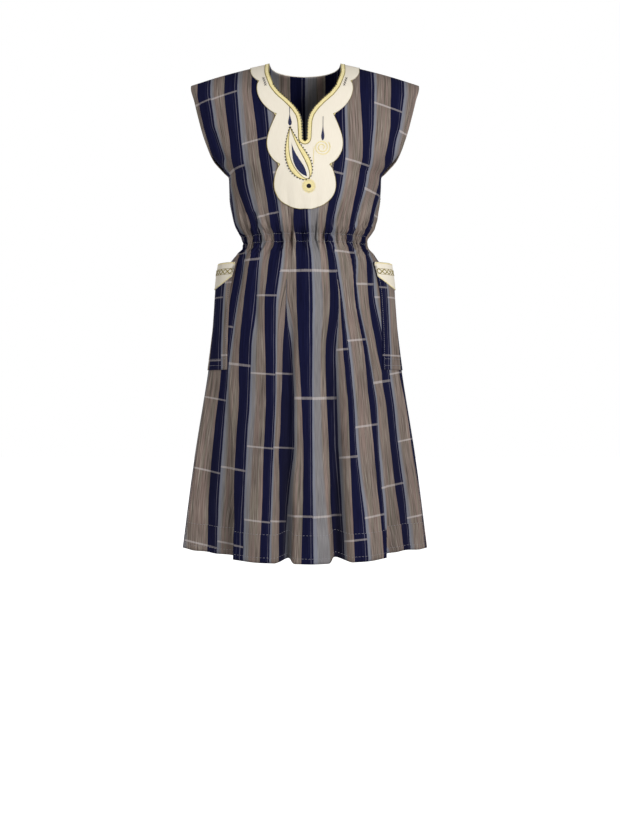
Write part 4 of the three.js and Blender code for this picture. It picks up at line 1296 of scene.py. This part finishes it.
def leaf_width(count, widest, lean, fullness=0.55):
    """Half the width of a leaf along its spine, pointed at both ends and widest where lean puts it."""
    return widest * np.maximum(np.sin(np.pi * np.linspace(0, 1, count) ** lean), 0) ** fullness


def leaf(spine, widest, lean):
    """The closed outline of a leaf round a spine."""
    half_width = leaf_width(len(spine), widest, lean)[:, None]
    left, right = offset(spine, 1.0) - spine, offset(spine, -1.0) - spine
    return np.concatenate([spine + left * half_width, (spine + right * half_width)[::-1][1:]])


def satin_leaf(spine, widest, lean, laid, fullness):
    """A raised leaf filled with satin stitch round a spine."""
    half_width = np.maximum(leaf_width(len(spine), widest, lean, fullness), 0.08)
    return ribbon(spine, half_width, 0.8, laid, ON_CLOTH)


def circle(turns):
    return np.stack([np.cos(turns), np.sin(turns)], -1)


def paisley(laid, made):
    """A double band round a leaf that bends to the wearer's left, loops outside it and a dark heart."""
    lean = 1.8
    spine = bowed((-30, -128), (8, -236), -0.08, 70)
    widths = leaf_width(len(spine), 22, lean)
    for away in (-1.0, 1.0):
        side = (offset(spine, away) - spine) * widths[:, None]
        band = softened(spine + side * 0.8, 2)
        made["gold"].append(ribbon(band, np.maximum(0.19 * widths, 0.4), 0.6, laid, ON_CLOTH))
        for share in (0.58, 1.0):
            made["olive"].append(ribbon(softened(spine + side * share, 2), 0.6, 0.72, laid, ON_CLOTH))
    ring = softened(along(leaf(spine, 24, lean), np.linspace(0, 1, 240)), 2)
    made["black"] += picot(ring, laid, 0.6)
    heart = bowed((-27, -162), (4, -231), -0.08, 60)
    made["navy"].append(satin_leaf(heart, 7.5, lean, laid, 0.8))


def drops(laid, made):
    """Two long drops on stems, one each side of the slit."""
    for tip, foot, wide in (((-31, -93), (-30, -127), 3.7), ((37, -116), (36, -158), 3.3)):
        tip, foot = np.array(tip, float), np.array(foot, float)
        line = mix(tip, foot, np.linspace(0, 1, 44)[:, None])
        made["navy"].append(satin_leaf(line, wide, 3.0, laid, 0.7))
        stem = mix(tip + (0, 9), mix(tip, foot, 0.35), np.linspace(0, 1, 12)[:, None])
        made["navy"].append(tube(laid.at(stem, 0.3), 0.55, 5))


def dot_flower(laid, made):
    """A round flower at the leaf's foot: three scalloped rings and a dark dot on a low plate."""
    centre, turns = np.array((8, -250)), np.linspace(0, 2 * np.pi, 61)
    for k, radius in enumerate((6.6, 9.6, 12.6)):
        petal = radius + 0.9 * np.cos(turns * (9 + 2 * k) + k)
        loop = centre + circle(turns) * petal[:, None]
        made["gold"].append(ribbon(loop, 1.1 - 0.12 * k, 0.5, laid, ON_CLOTH * 0.8))
    for kind, radius, reach, count, rise, lift in (
        ("gold", 125**0.5, 11, 30, 0.22, 0.05), ("black", 4.6, 4.5, 24, 1.1, ON_CLOTH),
    ):
        x = np.linspace(-reach, reach, count)
        half_width = np.sqrt(np.maximum(radius**2 - x**2, 0.3))
        made[kind].append(ribbon(np.stack([x, 0 * x], -1) + centre, half_width, rise, laid, lift))


def spiral(laid, made):
    """A spiral of a little over two turns, and its stem."""
    centre, t = np.array((35, -172)), np.linspace(0, 1, 150)
    coil = centre + circle(2.25 * 2 * np.pi * t - 0.9) * (3 + 13.5 * t**0.9)[:, None]
    made["gold"].append(ribbon(coil, 0.95, 0.6, laid, ON_CLOTH))
    made["gold"].append(ribbon(bowed((19, -171), (18, -207), -0.03, 40), 0.7, 0.45, laid, ON_CLOTH))


def yoke_edges(laid, made):
    """Bands of satin stitch along the edges of both yokes."""
    front = along(both_sides(yoke_edge()), np.linspace(0, 1, 620))
    back = along(both_sides(back_yoke_edge()), np.linspace(0, 1, 240))
    made["olive"].append(ribbon(offset(front, -0.6), 1.5, 0.75, laid, 0.02))
    made["gold"].append(ribbon(offset(front, -3.0), 1.2, 0.55, laid, 0.06))
    made["olive"].append(ribbon(offset(back, -0.4), 1.15, 0.75, over_yoke("back"), 0.02))


def slit_loops(laid, made):
    """Black loops down both sides of the slit."""
    slit = neck_line("front", 1.3, 720)
    slit = slit[(slit[:, 1] < -34) & (slit[:, 1] > SLIT_FOOT_Z + 3)]
    for part in (slit[slit[:, 0] < 0], slit[slit[:, 0] > 0]):
        made["black"] += picot(part, laid, 1.9)


def crossed_marks(laid, made):
    """Four crosses in a row by each shoulder."""
    for flip in (-1, 1):
        for k in range(4):
            spot = np.array((flip * (85 - 1.4 * k), -21.0 - 5.0 * k))
            for lean in (-1, 1):
                arm = np.array((2.1, 2.1 * lean))
                made["black"].append(tube(laid.at(np.array([spot - arm, spot, spot + arm]), 0.45), 0.5, 5))


def make_embroidery():
    laid = over_yoke("front")
    made = {"gold": [], "olive": [], "navy": [], "black": []}
    for motif in (paisley, drops, dot_flower, spiral, yoke_edges, slit_loops, crossed_marks):
        motif(laid, made)
    for kind, parts in made.items():
        label = "yellow" if kind == "gold" else kind
        thread_piece(f"embroidery_{label}", parts, kind)


@functools.cache
def pocket(flip):
    """A pocket's outer face: points, quads, each point's run from the front edge, and point numbers."""
    inner = np.linspace(POCKET_INNER, 1, 33)
    zs = np.concatenate([np.linspace(POCKET_TOP_Z, -470, 26)[:-1], np.linspace(-470, POCKET_FOOT_Z, 34)])
    rows = []
    for z in zs:
        front, back = lower_row("front", flip * inner, z), lower_row("back", flip * inner, z)
        side = np.array([[flip * float(half(z)), 0.0, z]])
        rows.append(np.concatenate([front[:-1], side, back[:-1][::-1]]))
    grid = np.array(rows)
    numbers = numbering(grid)
    points = grid.reshape(-1, 3)
    quads = grid_faces(numbers, flip=flip < 0)
    ways = point_ways(points, quads)
    level = ways * (1, 1, 0)
    level /= np.linalg.norm(level, axis=1, keepdims=True)
    down = np.clip((points[:, 2] - GAPE["foot"]) / (POCKET_TOP_Z - GAPE["foot"]), 0, 1)
    aside = np.clip(np.abs(points[:, 1]) / GAPE["half"], 0, 1)
    gape = GAPE["depth"] * down ** GAPE["fall"] * np.cos(np.pi / 2 * aside) ** GAPE["roundness"]
    slack = ease(down + 0.3) * ease((POCKET_TOP_Z - points[:, 2]) / 60 + 0.3)
    sag = np.maximum(1.3 * noise_at(points, (40, 26, 60), 5.0 + flip) * slack, -0.2)
    points = points + ways * POCKET_LIFT + level * (gape + sag)[:, None]
    return points, quads, np.concatenate([run_of(row) for row in grid]), numbers


def make_pocket(flip, name):
    points, quads, run, _ = pocket(flip)
    cloth = POCKET_CLOTH[flip]
    past = run - cloth["seam"]
    corner_u = (flip * np.where(past > 0, cloth["rate"] * past, past))[quads]
    corner_v = -points[quads][:, :, 2]
    strip = np.floor(corner_u.mean(1) / STRIP).astype(int)
    phase = np.zeros_like(corner_v)
    for k in np.unique(strip):
        here = strip == k
        lines = np.array(cloth["wefts"].get(int(k), POCKET_OTHER_WEFTS), float)
        phase[here] = phase_between(-lines, corner_v[here])
    sheet = np.stack([corner_u.ravel() + POCKET_STRIPS * STRIP, corner_v.ravel()], -1)
    piece = new_piece(f"{name}_pocket_cloth", points, quads, strip_cloth(), {
        "cloth": sheet * MM + (0, cloth["start"]),
        "weft": np.stack([np.zeros(phase.size), phase.ravel()], -1),
    })
    thicken(piece, POCKET_THICKNESS)
    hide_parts(f"{name}_pocket")
    return piece


@functools.cache
def over_pocket(flip):
    points, quads, _, _ = pocket(flip)
    tree = tree_of(points, quads)

    def guess(flat):
        """Places on the pocket seen from the side, for flat places given as y and z."""
        spots = np.empty((len(flat), 3))
        for n, (y, z) in enumerate(flat):
            low = min(z, POCKET_TOP_Z - 0.02)
            hit = tree.ray_cast(Vector((flip * 400.0, y, low)), Vector((-flip, 0, 0)))[0]
            spots[n] = hit if hit else (flip * 150.0, y, low)
            spots[n][2] = low
        return spots

    return Laid(tree, guess)


def trim_depth(y):
    """How far a trim reaches down from the pocket's mouth, deepest over the side seam."""
    return mix(TRIM["edge"], TRIM["depth"], 1 - np.minimum(1, np.abs(y) / TRIM["half"]) ** TRIM["square"])


def level_line(ys, below):
    """A flat line over a pocket at a distance below its mouth."""
    return np.stack([ys, POCKET_TOP_Z - below + 0 * ys], -1)


def trim_threads(laid):
    """The gold bands round a trim, and the crossed olive lines and edge lines along its middle."""
    far, wide = TRIM["half"], TRIM["half"] * 0.985
    edge_y = np.linspace(-wide, wide, 120)
    depths = np.linspace(1.6, LATTICE["middle"], 12)
    rims = [level_line(edge_y, trim_depth(edge_y) - 1.0), level_line(edge_y, 1.6)]
    rims += [level_line(np.full(12, end), depths) for end in (-wide, wide)]
    gold = [ribbon(line, 0.95, 0.6, laid, 0.05) for line in rims]
    olive = []
    t = np.linspace(0, 1, LATTICE["crossings"] * 8 + 1)
    y = mix(-far + 4, far - 4, t)
    for start in (0, np.pi):
        zigzag = 2 / np.pi * np.arcsin(np.sin(LATTICE["crossings"] * np.pi * t + start + np.pi / 2))
        line = level_line(y, LATTICE["middle"] - LATTICE["reach"] * zigzag)
        olive.append(ribbon(line[np.abs(y) < far * 0.93], 0.85, 0.6, laid, 0.06))
    for below in LATTICE["lines"]:
        line = level_line(np.linspace(-far * 0.9, far * 0.9, 33), below)
        olive.append(ribbon(line, 0.4, 0.4, laid, 0.05))
    return gold, olive


def make_trim(flip, name):
    ys = TRIM["half"] * np.sin(np.linspace(-1, 1, 73) * 1.5) / np.sin(1.5)
    grid = np.array([level_line(ys, 0.05 + trim_depth(ys) * t) for t in np.linspace(0, 1, 26)])
    flat, quads = grid.reshape(-1, 2), grid_faces(numbering(grid), flip=flip < 0)
    points = over_pocket(flip).at(flat, TRIM_LIFT)
    uv = flat[quads].reshape(-1, 2) * MM
    piece = new_piece(f"{name}_pocket_trim_cloth", points, quads, cream_cloth(), {"cloth": uv})
    thicken(piece, TRIM_THICKNESS)
    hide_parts(f"{name}_pocket_trim")
    gold, olive = trim_threads(Laid(tree_of(points, quads), over_pocket(flip).guess))
    thread_piece(f"{name}_trim_edge", gold, "gold")
    thread_piece(f"{name}_trim_lattice", olive, "olive")
    return piece


def on_panel(side, ids, lift):
    points, _, ways, *_ = panel(side)
    return points[ids] + ways[ids] * lift


def make_stitching():
    """Stitches beside the elastic, above the hem, round the armholes, down the sides and pockets."""
    s = bpy.context.scene.smock_stitching
    long, gap, radius = s.length * 1000, s.gap * 1000, s.thickness * 500
    pale, dark = [], []
    tops = len(TOP_SHARES) - 1
    for side in ("front", "back"):
        points, _, _, numbers, *_ = panel(side)
        levels = np.array([points[ids][:, 2].mean() for ids in numbers[tops : tops + len(LEVELS)]])
        for z in CASING_STITCHES:
            ids = numbers[tops + int(np.argmin(np.abs(levels - z)))][3:-3]
            pale += dashes(on_panel(side, ids, 0.2), long, gap, radius)
        for distance in HEM_STITCHES:
            share = 1 - distance / (POCKET_FOOT_Z - HEM_Z)
            row = tops + len(LEVELS) + int(np.argmin(np.abs(SKIRT_SHARES - share)))
            pale += dashes(on_panel(side, numbers[row][2:-2], 0.2), long + 1.5, gap + 1.2, radius * 0.9)
        # round the armholes, a few columns in from each edge
        for column in (5, -6):
            ids = np.array([row[column] for row in numbers[2:tops]])
            dark += dashes(on_panel(side, ids, 0.2), long, gap, radius * 0.9)
        # down the side seams from below the armholes
        for column in (2, -3):
            ids = np.array([row[column] for row in numbers[tops + 18 :]])
            dark += dashes(on_panel(side, ids, 0.15), long + 1, gap, radius * 0.8)
    for flip in (-1, 1):
        points, quads, _, numbers = pocket(flip)
        ways = point_ways(points, quads)
        for ids in (numbers[4:, 2], numbers[4:, -3], numbers[-3, 2:-2], numbers[-6, 2:-2]):
            pale += dashes(points[ids] + ways[ids] * 0.2, long, gap, radius)
    thread_piece("sewing_pale", pale, "pale")
    thread_piece("sewing_dark", dark, "dark")


# ---------------------------------------------------------------- stage


FLOOR_REACH, LIT_PLACE, CAMERA_PLACE = 30.0, (0, 0, -0.5), (0.0105, -3.4, -0.719)


def placed(name, data, spot=(0, 0, 0), turned=(0, 0, 0)):
    """An object of some data, added to the scene at a place and turned by angles."""
    made = bpy.data.objects.new(name, data)
    bpy.context.scene.collection.objects.link(made)
    made.location, made.rotation_euler = spot, turned
    return made


def make_stage():
    """A white floor and backdrop, three soft lights and the camera."""
    s = bpy.context.scene.smock_stage
    material, t, shader = new_material("Floor", 0.0, 0.9)
    grain = t.noise(t.node("ShaderNodeTexCoord").outputs["Object"], 3.0, 2.0)
    t.feed(shader["Base Color"], t.mix(grain, (0.93, 0.93, 0.93, 1), (0.97, 0.97, 0.97, 1)))
    shader["Emission Color"].default_value = (1, 1, 1, 1)
    shader["Emission Strength"].default_value = 0.9
    mesh = bpy.data.meshes.new("floor")
    ways = ((-1, -1), (1, -1), (1, 1), (-1, 1))
    ends = [(x * FLOOR_REACH, y * FLOOR_REACH, s.floor_height) for x, y in ways]
    mesh.from_pydata(ends, [], [(0, 1, 2, 3)])
    mesh.materials.append(material)
    floor = placed("floor", mesh)
    floor.visible_diffuse = False
    world = bpy.data.worlds.new("Studio")
    bpy.context.scene.world = world
    world.use_nodes = True
    w = Tree(world.node_tree.nodes, world.node_tree.links)
    w.nodes.clear()
    seen, lit = w.node("ShaderNodeBackground"), w.node("ShaderNodeBackground")
    seen.inputs[0].default_value, seen.inputs[1].default_value = (1, 1, 1, 1), 1.0
    lit.inputs[0].default_value, lit.inputs[1].default_value = (1, 1, 1, 1), s.ambient
    blend = w.node("ShaderNodeMixShader")
    w.links.new(w.node("ShaderNodeLightPath").outputs["Is Camera Ray"], blend.inputs[0])
    w.links.new(lit.outputs[0], blend.inputs[1])
    w.links.new(seen.outputs[0], blend.inputs[2])
    w.links.new(blend.outputs[0], w.node("ShaderNodeOutputWorld").inputs[0])
    for name, spot, power, wide in (
        ("key", (1.75, -2.9, 0.15), s.key_power, 1.0),
        ("fill", (-2.3, -2.4, -0.2), s.fill_power, 2.0),
        ("rim", (-0.8, 3.0, 0.2), s.fill_power * 2.0, 2.0),
    ):
        lamp = bpy.data.lights.new(name, "AREA")
        lamp.energy, lamp.size = power, wide
        aim = (Vector(LIT_PLACE) - Vector(spot)).to_track_quat("-Z", "Y").to_euler()
        placed(name, lamp, spot, aim)
    camera = bpy.data.cameras.new("camera")
    camera.lens, camera.sensor_width = s.lens, 36
    bpy.context.scene.camera = placed("camera", camera, CAMERA_PLACE, (np.pi / 2, 0, 0))
    bpy.context.scene.view_settings.view_transform = "Standard"


# ---------------------------------------------------------------- settings, operators and panel


def tone(name, description, default):
    return FloatVectorProperty(
        name=name, description=description, default=default, size=3, min=0, max=1, subtype="COLOR",
    )


def number(name, description, default, **settings):
    return FloatProperty(name=name, description=description, default=default, **settings)


def distance(name, description, default):
    return number(name, description, default, min=0, unit="LENGTH", subtype="DISTANCE")


class SMOCK_PG_cloth(bpy.types.PropertyGroup):
    strip_width: distance("Strip width", "Width of one woven strip", 0.066)
    thickness: distance("Thickness", "Thickness of the strip cloth", 0.0017)
    threads_per_metre: number("Threads", "Threads in a metre of the strip cloth", 750, min=100)
    navy: tone("Navy", "Colour of the dark bands", (0.0052, 0.0056, 0.026))
    taupe: tone("Taupe", "Colour of the marled bands", (0.225, 0.18, 0.154))
    grey_blue: tone("Grey blue", "Colour of the edge bands", (0.19, 0.20, 0.25))
    pale_weft: tone("Pale weft", "Colour of the single wefts", (0.5, 0.45, 0.44))
    cream: tone("Cream", "Colour of the yokes and trims", (0.736, 0.681, 0.57))


class SMOCK_PG_embroidery(bpy.types.PropertyGroup):
    braid_width: distance("Braid width", "Width of the band round the neck", 0.0095)
    pale_yellow: tone("Pale yellow", "Colour of the braid and the bands", (0.93, 0.84, 0.47))
    olive_gold: tone("Olive gold", "Colour of the outlines", (0.34, 0.265, 0.055))
    navy: tone("Navy", "Colour of the drops and the heart", (0.012, 0.014, 0.045))


class SMOCK_PG_stitching(bpy.types.PropertyGroup):
    length: distance("Stitch length", "Length of a stitch", 0.003)
    gap: distance("Stitch gap", "Gap between two stitches", 0.0014)
    thickness: distance("Thread thickness", "Thickness of the sewing thread", 0.0008)


class SMOCK_PG_stage(bpy.types.PropertyGroup):
    floor_height: number("Floor height", "Height of the floor", -1.554, unit="LENGTH")
    lens: number("Lens", "Focal length of the camera", 69.8, unit="CAMERA")
    ambient: number("Ambient", "Strength of the light from all round", 0.36, min=0)
    key_power: number("Key light", "Power of the key light", 93, unit="POWER")
    fill_power: number("Fill light", "Power of the fill light", 28, unit="POWER")


class SmockOperator:
    bl_options = {"REGISTER", "UNDO"}


class SMOCK_OT_panels(SmockOperator, bpy.types.Operator):
    """Make the front and back of strip cloth."""

    bl_idname, bl_label = "smock.panels", "Front and back"

    def execute(self, context):
        for side, area in (("front", 0.58), ("back", 0.605)):
            make_panel(side)
        return {"FINISHED"}


class SMOCK_OT_yokes(SmockOperator, bpy.types.Operator):
    """Make the cream yokes round the neck."""

    bl_idname, bl_label = "smock.yokes", "Yokes"

    def execute(self, context):
        make_yoke("front")
        make_yoke("back")
        return {"FINISHED"}


class SMOCK_OT_braid(SmockOperator, bpy.types.Operator):
    """Make the braid round the neck and down the slit."""

    bl_idname, bl_label = "smock.braid", "Neck braid"

    def execute(self, context):
        make_braid("front")
        make_braid("back")
        return {"FINISHED"}


class SMOCK_OT_embroidery(SmockOperator, bpy.types.Operator):
    """Make the embroidered paisley, drops, spiral, dot flower and edges."""

    bl_idname, bl_label = "smock.embroidery", "Embroidery"

    def execute(self, context):
        make_embroidery()
        return {"FINISHED"}


class SMOCK_OT_pockets(SmockOperator, bpy.types.Operator):
    """Make the two patch pockets and their trims."""

    bl_idname, bl_label = "smock.pockets", "Pockets"

    def execute(self, context):
        for flip, name in ((1, "left"), (-1, "right")):
            make_pocket(flip, name)
            make_trim(flip, name)
        return {"FINISHED"}


class SMOCK_OT_stitching(SmockOperator, bpy.types.Operator):
    """Make the casing, hem, armhole, side seam and pocket stitches."""

    bl_idname, bl_label = "smock.stitching", "Stitching"

    def execute(self, context):
        make_stitching()
        return {"FINISHED"}


class SMOCK_OT_stage(SmockOperator, bpy.types.Operator):
    """Make the floor, the lights and the camera."""

    bl_idname, bl_label = "smock.stage", "Stage"

    def execute(self, context):
        make_stage()
        return {"FINISHED"}


OPERATORS = (
    SMOCK_OT_panels, SMOCK_OT_yokes, SMOCK_OT_braid, SMOCK_OT_embroidery,
    SMOCK_OT_pockets, SMOCK_OT_stitching, SMOCK_OT_stage,
)
GROUPS = {
    "smock_cloth": SMOCK_PG_cloth, "smock_embroidery": SMOCK_PG_embroidery,
    "smock_stitching": SMOCK_PG_stitching, "smock_stage": SMOCK_PG_stage,
}


class SMOCK_PT_sidebar(bpy.types.Panel):
    bl_idname, bl_label = "SMOCK_PT_sidebar", "Smock dress"
    bl_space_type, bl_region_type, bl_category = "VIEW_3D", "UI", "Smock"

    def draw(self, context):
        for operator in OPERATORS:
            self.layout.operator(operator.bl_idname)
        for name in GROUPS:
            group = getattr(context.scene, name)
            box = self.layout.box()
            for key in group.__annotations__:
                box.prop(group, key)


def register():
    for cls in (*GROUPS.values(), *OPERATORS, SMOCK_PT_sidebar):
        bpy.utils.register_class(cls)
    for name, cls in GROUPS.items():
        setattr(bpy.types.Scene, name, PointerProperty(type=cls))


def unregister():
    for name in GROUPS:
        delattr(bpy.types.Scene, name)
    for cls in (SMOCK_PT_sidebar, *reversed(OPERATORS), *reversed(GROUPS.values())):
        bpy.utils.unregister_class(cls)


def main():
    register()
    for step in ("panels", "yokes", "braid", "embroidery", "pockets", "stitching", "stage"):
        getattr(bpy.ops.smock, step)()


if __name__ == "__main__":
    main()
